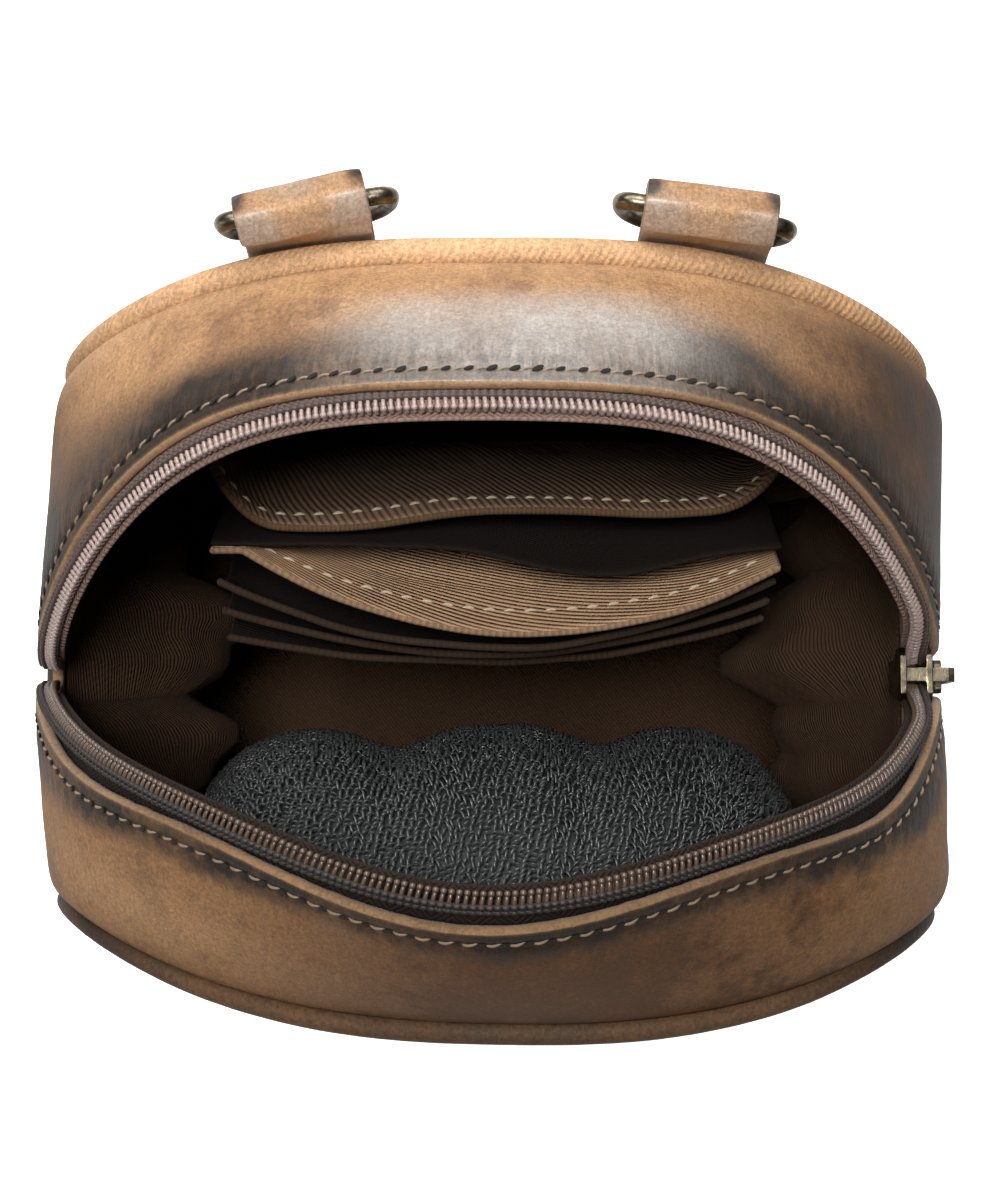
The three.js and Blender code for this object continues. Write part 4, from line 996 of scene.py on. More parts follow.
ARCH_LOOKUP = 2001
TOP_HALF_COLUMNS = 360
STITCH_LINE_COLUMNS = 1201
STRIP_COLUMNS = 260
RIM_COLUMNS = 430
STRIP_TUCK = 3.0
STRIP_AXIS_Z = 90.0
GROOVE_WIDTH = 0.95
PUFF_INSIDE = (6.3, 1.6)
PUFF_OUTSIDE = (1.4, 0.8)
SEAM_VALLEY = 1.2
STRIP_ROWS = np.concatenate([-np.linspace(1, 0.9, 6), -np.linspace(0.88, 0.004, 16),
                             np.linspace(0.004, 0.88, 16), np.linspace(0.9, 1, 6)])
PANEL_ROWS = np.concatenate([np.linspace(0, 0.86, 20), np.linspace(0.885, 1, 9)])
PANEL_ROLL_STEPS = 15
BESIDE_GROOVE = 13.0
BESIDE_SEAM = 6.0
CUT_EDGE_WEAR = 0.35


def edge_length(arch):
    u = np.linspace(-1, 1, ARCH_LOOKUP)
    return u, run_length(arch_point(arch, u))


def even_u(arch, columns):
    u, length = edge_length(arch)
    return np.interp(np.linspace(0, length[-1], columns), length, u)


def top_half_grid(face, arch, u, from_edge, leather, stitches):
    """Skin points by rows set back from the zip edge, with the stitch groove and soft unevenness."""
    across = np.linalg.norm(top_half(face, arch, u, np.zeros(len(u)))[0] - arch_point(arch, u), axis=-1)
    run = np.interp(u, *edge_length(arch))
    points, normals, depths = [], [], []
    for kind, value in from_edge:
        back = np.full(len(u), value) if kind == "edge" else across - value
        back = lerp(BESIDE_GROOVE, across - BESIDE_SEAM, value) if kind == "between" else back
        point, normal = top_half(face, arch, u, 1 - back / across)
        points.append(point)
        normals.append(normal)
        depths.append(back)
    points, back = np.array(points), np.array(depths)
    skin = skin_towards(points, np.array(normals))
    beat = 0.5 + 0.5 * np.cos(math.tau * run / (stitches.pitch / MM))
    in_groove = bell(back, stitches.inset / MM, GROOVE_WIDTH)
    groove = -(leather.groove / MM) * in_groove * (0.55 + 0.45 * beat)
    puff = 0.16 * bell(back, *PUFF_INSIDE) * (0.4 + 0.6 * beat)
    puff += 0.12 * bell(back, *PUFF_OUTSIDE) * (0.5 + 0.5 * beat)
    seam = -0.3 * bell(across - back, 0, SEAM_VALLEY) - 0.9 * smooth(back - across, 0, 0.9)
    points = points + skin * (groove + puff + seam)[..., None]
    calm = smooth(back, 0, 12) * smooth(across - back, 0, 8)
    wave = noise_grid(points, 26, 3.0 + face["side"]) * 0.9 + noise_grid(points, 9, 8.0 + face["side"]) * 0.3
    return points + skin * (wave * calm * leather.wander / MM)[..., None], skin, back, across


def edge_rows():
    near = [0.0, 0.45, 1.0, 1.7, 2.3, 2.8, 3.2, 3.55, 3.9, 4.35, 5.0, 5.7, 6.4, 7.4, 9.0, 11.0]
    middle = list(np.linspace(0, 1, 15))
    seam = [4.4, 3.2, 2.3, 1.6, 1.0, 0.5, 0.0, -0.45, -0.9]
    return [("edge", v) for v in near] + [("between", v) for v in middle] + [("seam", v) for v in seam]


def make_top_half(name, node, face, arch, leather, stitches, wax_at):
    u = even_u(arch, TOP_HALF_COLUMNS)
    points, skin, back, across = top_half_grid(face, arch, u, edge_rows(), leather, stitches)
    masks = wax_at(np.broadcast_to(u, back.shape), back, across - back)
    # The crease mask darkens the colour in the creases as painted shade and raises their bump.
    masks["crease"] = bell(back - stitches.inset / MM, 2, 6) * (1.0 if face["side"] > 0 else 0.15)
    rough = noise_grid(points, 3.0, 21.0) * 0.12
    points = points + skin * (rough * bell(back, 0, 1.2))[..., None]
    finish = FINISH["leather" if face["side"] > 0 else "leather_front"]
    piece = shell(name, points, LEATHER_WALL, (finish, FINISH["flesh"], FINISH["raw"]),
                  masks, bulge=0.18, toward=skin)
    settle(piece, "bag", "leather", node)


# Where wax, wear, the coat and the pale painted reflection lie. Places along the zip are in u, from -1 at its
# left end to 1 at its right, as a range over which a mask rises or as a centre and a half width. Distances from
# the zip or the seam are in millimetres.
BACK_BAND = dict(thin_at=0.03, widens=(0.35, 0.95), reach=(15.0, 46.0), more_in_middle=20.0, fades_from=0.3)
FRONT_BAND = dict(widens=(0.5, 1.0), reach=(11.0, 24.0), fades_from=0.35)
BACK_MIDDLE = (0.08, 0.34)
BACK_FLANKS = ((0.34, 0.08), (-0.36, 0.09))
BACK_FLANK_FADES = (12, 34)
BACK_DARK_RIGHT = (0.15, 0.8)
BACK_DARK_LEFT_END = (0.55, 0.9)
BACK_SOAKED_RIGHT = (0.25, 0.65)
BACK_SEAM_WEAR = 6.0
POLISH_AND_PAINTED_REFLECTION = (0.06, 0.26)
POLISH_AND_REFLECTION_FADES = (18, 34)
POLISH_AND_REFLECTION_FULL = (2, 9)
FRONT_DARK_CORNERS = (0.76, 1.0)
FRONT_SOAKED = (0.06, 0.3)
FRONT_SOAKED_RIGHT = (0.1, 0.5)
FRONT_SOAKED_SEAM = 5
FRONT_RUBBED_LEFT = (-0.5, 0.22)
FRONT_RUBBED_SHARE = (0.4, 0.22)


def back_wax(u, back, from_seam):
    """Masks of the back top half: wax, the coat and a pale painted reflection by the zip edge, dark over the
    right and at both ends.
    """
    band = BACK_BAND
    aside = np.abs(u - band["thin_at"])
    middle = bell(u, *BACK_MIDDLE)
    reach = lerp(*band["reach"], smooth(aside, *band["widens"])) + band["more_in_middle"] * middle
    near_edge = 1 - smooth(back, reach * band["fades_from"], reach)
    right = smooth(u, *BACK_DARK_RIGHT)
    left_end = smooth(-u, *BACK_DARK_LEFT_END)
    wax = np.maximum(near_edge * (0.95 - 0.15 * middle), 0.72 * right * smooth(from_seam, 0, 9))
    flank = sum(bell(u, *place) for place in BACK_FLANKS)
    wax = wax + 0.3 * flank * (1 - smooth(back, *BACK_FLANK_FADES))
    deep = np.maximum(smooth(u, *BACK_SOAKED_RIGHT), 0.95 * left_end)
    worn = bell(from_seam, 0, BACK_SEAM_WEAR) * 0.5 * (1 - right) + 0.4 * bell(back, 0, CUT_EDGE_WEAR)
    # The middle of the back by the zip takes the coat and a pale painted reflection.
    polished_with_painted_reflection = bell(u, *POLISH_AND_PAINTED_REFLECTION, power=4) * (1 - smooth(back, *POLISH_AND_REFLECTION_FADES))
    polished_with_painted_reflection = polished_with_painted_reflection * (1 - 0.45 * np.clip(flank, 0, 1))
    coat_and_painted_reflection = polished_with_painted_reflection * (0.55 + 0.45 * smooth(back, *POLISH_AND_REFLECTION_FULL))
    return {"wax": np.clip(wax, 0, 1), "deep": deep, "worn": worn, "coat_and_painted_reflection": np.clip(coat_and_painted_reflection, 0, 1)}


def front_wax(u, back, from_seam):
    """Masks of the front top half: wax along the zip edge and at both ends, oil soaked into the middle."""
    band = FRONT_BAND
    aside = np.abs(u)
    reach = lerp(*band["reach"], smooth(aside, *band["widens"]))
    near_edge = 1 - smooth(back, reach * band["fades_from"], reach)
    corner = smooth(aside, *FRONT_DARK_CORNERS) * 0.75
    wax = np.clip(np.maximum(near_edge * 0.85, corner), 0, 1)
    deep = 1.1 * bell(u, *FRONT_SOAKED) + 0.25 * smooth(u, *FRONT_SOAKED_RIGHT)
    deep = deep + 0.3 * bell(from_seam, 0, FRONT_SOAKED_SEAM)
    from_rim = from_seam / (back + from_seam)
    left = bell(u, *FRONT_RUBBED_LEFT) * bell(from_rim, *FRONT_RUBBED_SHARE)
    worn = left * 0.3 + 0.4 * bell(back, 0, CUT_EDGE_WEAR)
    return {"wax": wax, "deep": np.clip(deep, 0, 1), "worn": worn, "coat_and_painted_reflection": 0.0}


def away_from_axis(points):
    """Directions from the bag's middle out to a strip that runs round it."""
    away = points - np.array([0, 0, STRIP_AXIS_Z])
    away[..., 1] = 0
    return away


def make_base_strip(leather):
    """The strip round the sides and base. Its ends pass under the two top halves."""
    first = ZIP_END_DISTANCE - STRIP_TUCK
    distances = np.linspace(first, 2 * HALF_LENGTH - first, STRIP_COLUMNS)
    d, across = np.meshgrid(distances, STRIP_ROWS, indexing="ij")
    points = lower_strip(d, across)
    skin = skin_towards(points, away_from_axis(points))
    from_end = np.minimum(d - first, 2 * HALF_LENGTH - first - d)
    calm = smooth(1 - np.abs(across), 0, 0.12) * smooth(from_end, 0, 10)
    base = smooth(points[..., 2], 20, 4)
    wave = noise_grid(points, 24, 5.0) * 0.8 + noise_grid(points, 8, 6.0) * 0.3
    lift = wave * calm * (1 - base) * leather.wander / MM
    valley = -0.3 * bell((1 - np.abs(across)) * 50, 0, SEAM_VALLEY)
    tucked = -(LEATHER + 0.3) * (1 - smooth(from_end, STRIP_TUCK, STRIP_TUCK + 3.5))
    points = points + skin * (lift + valley + tucked)[..., None]
    near_top = 1 - smooth(from_end, 0, 26)
    low = smooth(points[..., 2], 30, 6)
    piece = shell("base_strip", points, LEATHER_WALL, (FINISH["leather"], FINISH["flesh"], FINISH["raw"]),
                  {"wax": np.clip(0.75 * near_top + 0.55 * low + 0.2, 0, 1), "deep": 0.5 + 0.4 * near_top},
                  toward=skin)
    settle(piece, "bag", "leather", "gusset_base")


def rim_stations(steps):
    """Even distances round the outline, starting at the middle of the base."""
    return HALF_LENGTH * (1 + 2 * np.arange(steps) / steps)


def make_panel(name, node, face, leather):
    """A face panel whose rim rolls round to the seam."""
    distances = rim_stations(RIM_COLUMNS)
    rows = [face_point(face, distances, part, 0) for part in PANEL_ROWS]
    roll = len(PANEL_ROWS)
    seam, n = seam_point(face, distances)
    radius = face["roll"]
    for angle in np.linspace(math.pi / 2, ROLL_TUCK, PANEL_ROLL_STEPS)[1:]:
        out = radius * (math.cos(angle) - math.cos(ROLL_START))
        spot = xyz(seam[:, 0], 0 * seam[:, 0], seam[:, 2]) + n * out
        spot[:, 1] = seam[:, 1] + face["side"] * radius * (math.sin(angle) - math.sin(ROLL_START))
        rows.append(spot)
    points = np.array(rows)
    on_roll = np.zeros(points.shape[:2])
    on_roll[roll - 3:] = 1
    skin = grid_normals(points, wrap=True)
    skin *= np.sign(np.sum(skin[2:roll - 4, :, 1]) * face["side"])
    wave = noise_grid(points, 30, 12.0) * 0.8 + noise_grid(points, 10, 14.0) * 0.25
    hold = np.ones(points.shape[:2])
    hold[[0, -2, -1]] = 0
    run = distances + 0.8 * noise_grid(points, 7, 15.0)
    pucker = (np.abs(np.sin(run * math.pi / RIM_PUCKER_PITCH)) - 0.6) * RIM_PUCKER * on_roll
    pucker *= 0.6 + 0.8 * noise_grid(points, 12, 16.0)
    points = points + skin * ((wave * leather.wander / MM * (1 - 0.7 * on_roll) + pucker) * hold)[..., None]
    height = points[..., 2]
    rim = np.zeros(points.shape[:2])
    rim[roll - 4:] = 1
    rim[roll - 5] = 0.6
    rim[roll - 6] = 0.25
    top = smooth(height, 120, 185)
    aside = smooth(np.abs(points[..., 0]), 50, 84)
    if face["side"] > 0:
        worn = rim * lerp(0.3, 1.0, top * bell(points[..., 0], -14, 66, 4))
        wax = (1 - rim) * (0.25 + 0.35 * aside) + 0.2 * (1 - top) * (1 - rim)
    else:
        worn = rim * 0.1 * (1 - aside)
        wax = 0.4 + 0.2 * aside + 0.25 * rim
    wax = np.clip(wax + 0.25 * noise_grid(points, 34, 18.0), 0, 1)
    finish = FINISH["panel" if face["side"] > 0 else "panel_front"]
    deep = np.full(points.shape[:2], 0.1 if face["side"] > 0 else 0.9)
    piece = shell(name, points, PANEL_WALL, (finish, FINISH["flesh"], FINISH["raw"]),
                  {"wax": wax, "deep": deep, "worn": np.clip(worn, 0, 1), "rib": rim * top},
                  wrap=True, toward=skin)
    settle(piece, "bag", "leather", node)


def stitch_line(face, arch, leather, stitches):
    """Where the stitches sit on a top half, with the run of the line and the way out of the leather."""
    u = even_u(arch, STITCH_LINE_COLUMNS)
    inset = stitches.inset / MM
    rows = [("edge", inset - 0.6), ("edge", inset), ("edge", inset + 0.6)]
    points, skin, _, _ = top_half_grid(face, arch, u, rows, leather, stitches)
    line, out = points[1], skin[1]
    run = np.gradient(line, axis=0)
    where = evenly(line, stitches.pitch / MM, 1.2)
    return pick(line, where), pick(run, where), pick(out, where)


# ---------------------------------------------------------------- zip


TAPE_COLUMNS = 260
TAPE_WALL = 0.75
TAPE_ROOT = 0.88
TAPE_UNDER_COIL = (-1.6, -1.6)
TAPE_LIP = (1.9, -1.55)
TAPE_BEND_STEPS = 9
COIL_SAMPLES = 1600
COIL_PAST_TAPE_U = 0.045
COIL_LEAN = 0.14
SEWING_ROWS = ((-1.25, 0.42), (-0.35, 0.5))
SEWING_STEPS = 6
SEWING_HEIGHT = 1.28
SEWING_RIPPLE = 0.2
EASED_EDGE = 0.35
EASED_FROM = math.radians(25)
FLAT_WITHIN = math.radians(1)
SOLID_MERGE_DISTANCE = 0.00002


def coil_stations(edge, coil, u):
    centre = arch_point(coil, u)
    along = unit(arch_point(coil, u + 0.01) - arch_point(coil, u - 0.01))
    up = unit(np.cross(along, centre - arch_point(edge, u))) * -coil["side"]
    across = np.cross(up, along) * -coil["side"]
    return centre, along, across, up


def make_tape(name, node, face, edge, coil):
    u = np.linspace(ZIP_FIRST_U, ZIP_LAST_U, TAPE_COLUMNS)
    edge_point, normal = top_half(face, edge, u, np.ones(len(u)))
    inside, _ = top_half(face, edge, u, np.full(len(u), TAPE_ROOT))
    under = edge_point - normal * (LEATHER + GAP)
    root = inside - normal * (LEATHER + GAP)
    centre, _, across, up = coil_stations(edge, coil, u)
    lip, flat = (centre + across * aside + up * height for aside, height in (TAPE_LIP, TAPE_UNDER_COIL))
    start = lerp(root, under, 0.85)
    rows = [root, lerp(root, under, 0.5), start]
    for t in np.linspace(0.0, 1.0, TAPE_BEND_STEPS)[1:]:
        rows.append((1 - t) ** 2 * start + 2 * t * (1 - t) * under + t ** 2 * flat)
    rows += [lerp(flat, lip, 0.5), lip]
    points = np.array(rows)
    skin = skin_towards(points, normal)
    wave = noise_grid(points, 14, 31.0) * 0.25
    wave[-3:] *= 0.2
    points = points + skin * wave[..., None]
    # The front tape takes the darker copy of the tape: painted shade.
    piece = shell(name, points, TAPE_WALL, (FINISH["tape" if coil["side"] > 0 else "tape_front_painted_shade"],), toward=skin)
    settle(piece, "bag", "zip_tape", node)
    declare_cloth(piece)


def make_coil(name, node, edge, coil, zips):
    """The coil's turns, and the two rows of sewing that hold them to the tape and rise over each turn."""
    u = np.linspace(ZIP_FIRST_U, ZIP_LAST_U + COIL_PAST_TAPE_U, COIL_SAMPLES)
    centre, along, across, up = coil_stations(edge, coil, u)
    where = evenly(centre, zips.pitch / MM)
    # The front coil takes the darker copy of the nylon: painted shade.
    piece = repeat(name, TREES["coil"], pick(centre, where), pick(along, where), pick(up, where),
                   **{"Wire Radius": zips.wire, "Lean": COIL_LEAN * coil["side"], "Head Side": -coil["side"],
                      "Finish": FINISH["coil" if coil["side"] > 0 else "coil_front"]})
    settle(piece, "bag", "zip_coil", node)
    fine = evenly(centre, zips.pitch / MM / SEWING_STEPS)
    beat = np.cos(np.arange(len(fine)) / SEWING_STEPS * math.tau)
    # The front rows of sewing take the front tape's colour: painted shade.
    finish = FINISH["sewing" if coil["side"] > 0 else "sewing_front_painted_shade"]
    for row, (aside, radius) in enumerate(SEWING_ROWS):
        line = pick(centre, fine) + pick(across, fine) * aside
        line = line + pick(up, fine) * (SEWING_HEIGHT + SEWING_RIPPLE * beat)[:, None]
        thread = sweep(f"{name}_sewing_{row + 1}", line, radius, finish, sides=7)
        settle(thread, "bag", "zip_tape")


def metal_copy(name, node):
    """A merged copy of a solid with its hard edges eased."""
    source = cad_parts[node]
    mesh = source.data.copy()
    mesh.name = name
    mesh.materials.clear()
    mesh.materials.append(FINISH["brass"])
    piece = bpy.data.objects.new(name, mesh)
    bpy.context.scene.collection.objects.link(piece)
    tool = bmesh.new()
    tool.from_mesh(mesh)
    bmesh.ops.remove_doubles(tool, verts=tool.verts, dist=SOLID_MERGE_DISTANCE)
    bmesh.ops.dissolve_limit(tool, angle_limit=FLAT_WITHIN, verts=tool.verts, edges=tool.edges)
    bmesh.ops.recalc_face_normals(tool, faces=tool.faces)
    tool.to_mesh(mesh)
    tool.free()
    mesh.polygons.foreach_set("use_smooth", [False] * len(mesh.polygons))
    bevel = piece.modifiers.new("eased edges", "BEVEL")
    bevel.width = EASED_EDGE * MM
    bevel.segments = 3
    bevel.limit_method = "ANGLE"
    bevel.angle_limit = EASED_FROM
    bevel.harden_normals = False
    return piece


# ---------------------------------------------------------------- tabs and rings

TAB_LEATHER = 1.7
TAB_WALL = TAB_LEATHER - 0.1
TAB_WIDTH = 24.2
TAB_EDGE_COLUMNS = np.array([0.455, 0.48, 0.494, 0.5])
TAB_MIDDLE_COLUMNS = np.linspace(-0.42, 0.42, 21)
TAB_LOW_Z = 150.0
TAB_PARTS_Z = 187.0
TAB_SEAT_Z = 184.0
TAB_STITCH_INSET = 2.4
TAB_STITCH_PITCH = 3.4
REAR_PLY_CLOSES = [(5.0, 193.0), (4.6, 189.5), (2.4, TAB_PARTS_Z), (-0.2, TAB_SEAT_Z), (-1.25, 181.0)]
FOLD_RADIUS = 5.0
TAB_LEAVES_Z = 190.2
FOLD_FLATNESS = 1.45
FOLD_SQUARENESS = 0.9
FOLD_ROWS = slice(25, 45)
TAB_SEWN_ROWS = (18.0, 2.6)
TAB_THREAD_LENGTH = 2.4
TAB_THREAD_RADIUS = 0.34
RING_WIRE_RADIUS = 1.7
RING_HALF_WIDTH = 15.7
RING_DROP = 19.0
RING_CORNER = 2.6
RING_FULLNESS = 0.8
RING_TILT = math.radians(4)
TABS = {
    "left": dict(x=-35.8, y=79.4, z=193.0, turn=12.5, ring_turn=9.5, shift=0.8, sunk=0.0),
    "right": dict(x=39.6, y=78.6, z=193.0, turn=-7.7, ring_turn=-10.0, shift=-0.8, sunk=0.4),
}


def along_turn(degrees):
    return np.array([math.cos(math.radians(degrees)), math.sin(math.radians(degrees)), 0])


def tab_profile(fold):
    """The tab's outer skin as [back, z] and the share of the fold passed, from the lower front edge over."""
    front = [(-FOLD_RADIUS, z, 0.0) for z in np.linspace(TAB_LOW_Z, fold["z"], 30)[:-1]]
    bend = []
    for share in np.linspace(0, 1, 29):
        a = math.pi * (1 - share)
        power = lerp(FOLD_FLATNESS, FOLD_SQUARENESS, smooth(share, 0.2, 0.75))
        back = math.copysign(abs(math.cos(a)) ** power, math.cos(a))
        bend.append((FOLD_RADIUS * back, fold["z"] + FOLD_RADIUS * abs(math.sin(a)) ** power, share))
    rear = [(back, z, 1.0) for back, z in smooth_curve(REAR_PLY_CLOSES, 16)[1:]]
    rear += [(REAR_PLY_CLOSES[-1][0], z, 1.0) for z in np.linspace(REAR_PLY_CLOSES[-1][1], TAB_LOW_Z, 20)[1:]]
    return np.array(front + bend + rear)


def make_tab(side):
    fold = TABS[side]
    profile = tab_profile(fold)
    across = np.concatenate([-TAB_EDGE_COLUMNS[::-1], TAB_MIDDLE_COLUMNS, TAB_EDGE_COLUMNS]) * TAB_WIDTH
    along, outwards = along_turn(fold["turn"]), along_turn(fold["turn"] + 90)
    back, z = profile[:, 0][:, None], profile[:, 1][:, None]
    shares = profile[:, 2][:, None] + 0 * across
    x = fold["x"] + along[0] * across + outwards[0] * back
    standing = fold["y"] + along[1] * across + outwards[1] * back
    lying = outer_depth(BACK, x, np.minimum(z, TAB_SEAT_Z)) + 2 * GAP + back + FOLD_RADIUS
    front_risen = np.clip((z - TAB_LEAVES_Z) / (fold["z"] - TAB_LEAVES_Z), 0, 1)
    risen = np.where(shares > 0.5, smooth(z, TAB_PARTS_Z - 2, fold["z"]), front_risen)
    points = xyz(x, lerp(lying, standing, risen), z + 0 * x)
    skin = grid_normals(points)
    skin *= np.sign(np.sum((skin * points)[FOLD_ROWS, :, 2]))
    from_side = TAB_WIDTH / 2 - np.abs(across)
    crown = -0.35 * np.exp(-from_side / 1.1) + 0 * back
    wave = noise_grid(points, 13, 41.0 + fold["x"]) * 0.3 + noise_grid(points, 5, 44.0) * 0.08
    points = points + skin * (crown + wave)[..., None]
    near_rim = 1 - smooth(shares, 0.2, 0.42)
    band = bell(shares, 0.43, 0.14)
    corners = smooth(np.abs(across) / TAB_WIDTH, 0.34, 0.5) * smooth(shares, 0.4, 0.75)
    patch = noise_grid(points, 9, 47.0 + fold["x"])
    flanks = smooth(np.abs(across) / TAB_WIDTH, 0.1, 0.36) * (1 - smooth(shares, 0.42, 0.56))
    wax = np.clip(0.45 * flanks + 0.2 * band + 0.95 * corners + 1.1 * patch + 0.1, 0, 1)
    crest = smooth(shares, 0.42, 0.6)
    # Pale on the tab's lower front face, away from the crest: painted light against its shade. On the crest and
    # in patches it is rubbed wear.
    worn = np.clip(0.3 * crest - corners + 0.75 * (1 - crest) + 0.3 * patch, 0, 1)
    # Pale painted reflection on the flanks and near the rim, laid with the coat.
    coat_and_painted_reflection = np.clip(0.95 * flanks + 0.35 * near_rim + 0.4 * patch, 0, 1)
    piece = shell(f"strap_tab_{side}_leather", points, TAB_WALL,
                  (FINISH["tab"], FINISH["flesh"], FINISH["raw"]),
                  {"wax": wax, "worn": worn, "coat_and_painted_reflection": coat_and_painted_reflection, "deep": 0.25 * crest}, toward=skin)
    settle(piece, "bag", "tab_leather", f"strap_tab_{side}")
    high, low = (len(profile) - row for row in TAB_SEWN_ROWS)
    aside = TAB_WIDTH / 2 - TAB_STITCH_INSET
    rows = np.concatenate([np.linspace(high, low, 20), np.full(18, low), np.linspace(low, high, 20)])
    along_row = np.concatenate([np.full(20, -aside), np.linspace(-aside, aside, 20)[1:-1], np.full(20, aside)])
    columns = np.interp(along_row, across, np.arange(len(across)))
    line, out = pick_grid(points, rows, columns), pick_grid(skin, rows, columns)
    where = evenly(line, TAB_STITCH_PITCH, 1.0)
    sew(f"stitches_tab_{side}", line, out, where, "tab_leather", TAB_THREAD_LENGTH, TAB_THREAD_RADIUS, 0.1,
        FINISH["thread"])


def make_ring(side):
    fold = TABS[side]
    straight = RING_HALF_WIDTH - RING_CORNER
    flat = [(a, 0.0) for a in np.linspace(-straight, straight, 13)]
    for a in np.linspace(0, math.pi / 2, 7)[1:]:
        flat.append((straight + RING_CORNER * math.sin(a), RING_CORNER * (1 - math.cos(a))))
    for a in np.linspace(0, math.pi, 61)[1:-1]:
        reach = math.copysign(abs(math.cos(a)) ** RING_FULLNESS, math.cos(a))
        flat.append((RING_HALF_WIDTH * reach,
                     RING_CORNER + (RING_DROP - RING_CORNER) * math.sin(a) ** RING_FULLNESS))
    flat += [(-a, d) for a, d in flat[18:12:-1]]
    along, outwards = along_turn(fold["ring_turn"]), along_turn(fold["ring_turn"] + 90)
    bar = np.array([fold["x"], fold["y"], fold["z"]]) - outwards * fold["sunk"] + along * fold["shift"]
    down = np.array([0, 0, -math.cos(RING_TILT)]) + outwards * math.sin(RING_TILT)
    points = [bar + down * d + along * a for a, d in flat]
    piece = sweep(f"ring_{side}_brass", points, RING_WIRE_RADIUS, FINISH["brass"], sides=18, closed=True)
    settle(piece, f"ring_{side}", "brass", f"d_ring_{side}")


# ---------------------------------------------------------------- cloth pieces

CLOTH = 1.0
LINING_RIM_INSET = 0.6
LINING_FULLNESS = 0.5
SLACK_DEPTH = 25.0
SLACK_LOW = 42.0
SLIP = dict(low=72.0, top=150.0, mouth=28.0, half_width=66.0, corner=24.0, dip=3.6, dip_x=-36.0, dip_width=22.0)
POCKET_HALF_WIDTH = 57.0
ORGANISER_LOW_Z = 92.0
ORGANISER_TOP_Z = 150.0
CARD_BACK = dict(ends=21.5, notch=6.0, notch_x=21.0, notch_width=22.0)
CARD_FRONT = dict(foot=41.5, ends=20.0, middle=3.0, sag_x=6.0)
CARD_SLOTS = [dict(name="card_slot_1", top=140.0, foot=38.0, left=14.9, middle=1.2, right=15.0),
              dict(name="card_slot_2", top=130.0, foot=35.8, left=9.8, middle=0.5, right=12.0),
              dict(name="card_slot_3", top=120.0, foot=33.6, left=4.7, middle=-0.6, right=9.0)]
CLOTH_WALL = 0.9
KNIT_WALL = 0.8
LINING_COLUMNS = 200
FACE_LINING_ROWS = 30
GUSSET_LINING_TUCK = 4
GUSSET_LINING_COLUMNS = 190
GUSSET_LINING_ROWS = 46
GUSSET_LINING_REACH = 0.93
TOP_LINING_ROWS = 12
TOP_LINING_REACH = 1 - 2 / 34
SLIP_GRID = (46, 126)
ORGANISER_GRID = (34, 130)
CARD_SLOT_GRID = (26, 120)
SLIP_HEM = dict(row=42, pitch=3.9, length=2.5)
FLAP_HEM = dict(row=29, pitch=4.2, length=2.8)
HEM_THREAD_RADIUS = 0.36
TOWARD_FRONT = np.array([0, -1.0, 0])
MESH_HALF_WIDTH = 64.0
MESH_LOW_Z = 60.0
MESH_END_DROP = 0.18
MESH_PROFILE = [(-64, MESH_LOW_Z), (-42, 82), (-22, 112), (-15.5, 138), (-17, 154), (-30, 171), (-56, 187)]
MESH_VALLEYS = [(-19.0, 5.0), (20.0, 4.0)]
MESH_VALLEY_WIDTH = 9.0


def wall_inside(face, x, z):
    return outer_depth(face, x, z) - LEATHER - CLOTH - 3 * GAP


def slip_depth(x, rise):
    z = lerp(SLIP["low"], SLIP["top"], rise)
    wall = wall_inside(BACK, x, z) - CLOTH
    from_end = np.clip((SLIP["half_width"] - np.abs(x)) / SLIP["corner"], 0, 1)
    gape = (1 - (1 - from_end) ** 2.6) * rise ** 1.2
    mouth = SLIP["mouth"] - SLIP["dip"] * bell(x, SLIP["dip_x"], SLIP["dip_width"])
    return lerp(wall, mouth, gape)


def card_back_depth(x, rise):
    notch = CARD_BACK["notch"] * bell(x, CARD_BACK["notch_x"], CARD_BACK["notch_width"])
    share = (ORGANISER_LOW_Z - SLIP["low"]) / (SLIP["top"] - SLIP["low"])
    foot = slip_depth(x, share) - CLOTH - GAP
    return lerp(foot, CARD_BACK["ends"] - notch, rise)


def card_front_depth(x, rise):
    aside = np.minimum(1, np.abs(x - CARD_FRONT["sag_x"]) / POCKET_HALF_WIDTH) ** 2
    return lerp(CARD_FRONT["foot"], lerp(CARD_FRONT["middle"], CARD_FRONT["ends"], aside), rise)


def card_slot_depth(slot, x, rise):
    end = np.where(x < 0, slot["left"], slot["right"])
    hem = lerp(slot["middle"], end, np.abs(x / POCKET_HALF_WIDTH) ** 2)
    return lerp(slot["foot"], hem, 1 - (1 - rise) ** 2.2)


def pocket_grid(half_width, low, top, depth, rows, columns):
    rise, x = np.meshgrid(np.linspace(0, 1, rows), np.linspace(-half_width, half_width, columns), indexing="ij")
    return xyz(x, depth(x, rise), lerp(low, top, rise)), x, rise


def cloth_piece(name, node, points, toward, finish, thickness=CLOTH_WALL, flat=None, wrap=False,
                edge=None):
    """A cloth wall. edge is the finish of its folded or cut edge."""
    skin = skin_towards(points, toward, wrap)
    materials = (FINISH[finish], FINISH[finish], FINISH[edge or finish])
    piece = shell(name, points, thickness, materials, flat=flat, wrap=wrap, toward=skin)
    settle(piece, "bag", "twill", node)
    declare_cloth(piece)


def sew_hem(name, points, toward, thickness, row, pitch, length):
    """A row of stitches on the inner skin of a pocket's hem."""
    skin = skin_towards(points, toward)[row, 3:-3]
    line = points[row, 3:-3] - skin * thickness[row, 3:-3, None]
    sew(name, line, -skin, evenly(line, pitch, 0.8), "twill", length, HEM_THREAD_RADIUS, 0.12,
        FINISH["hem_thread"])


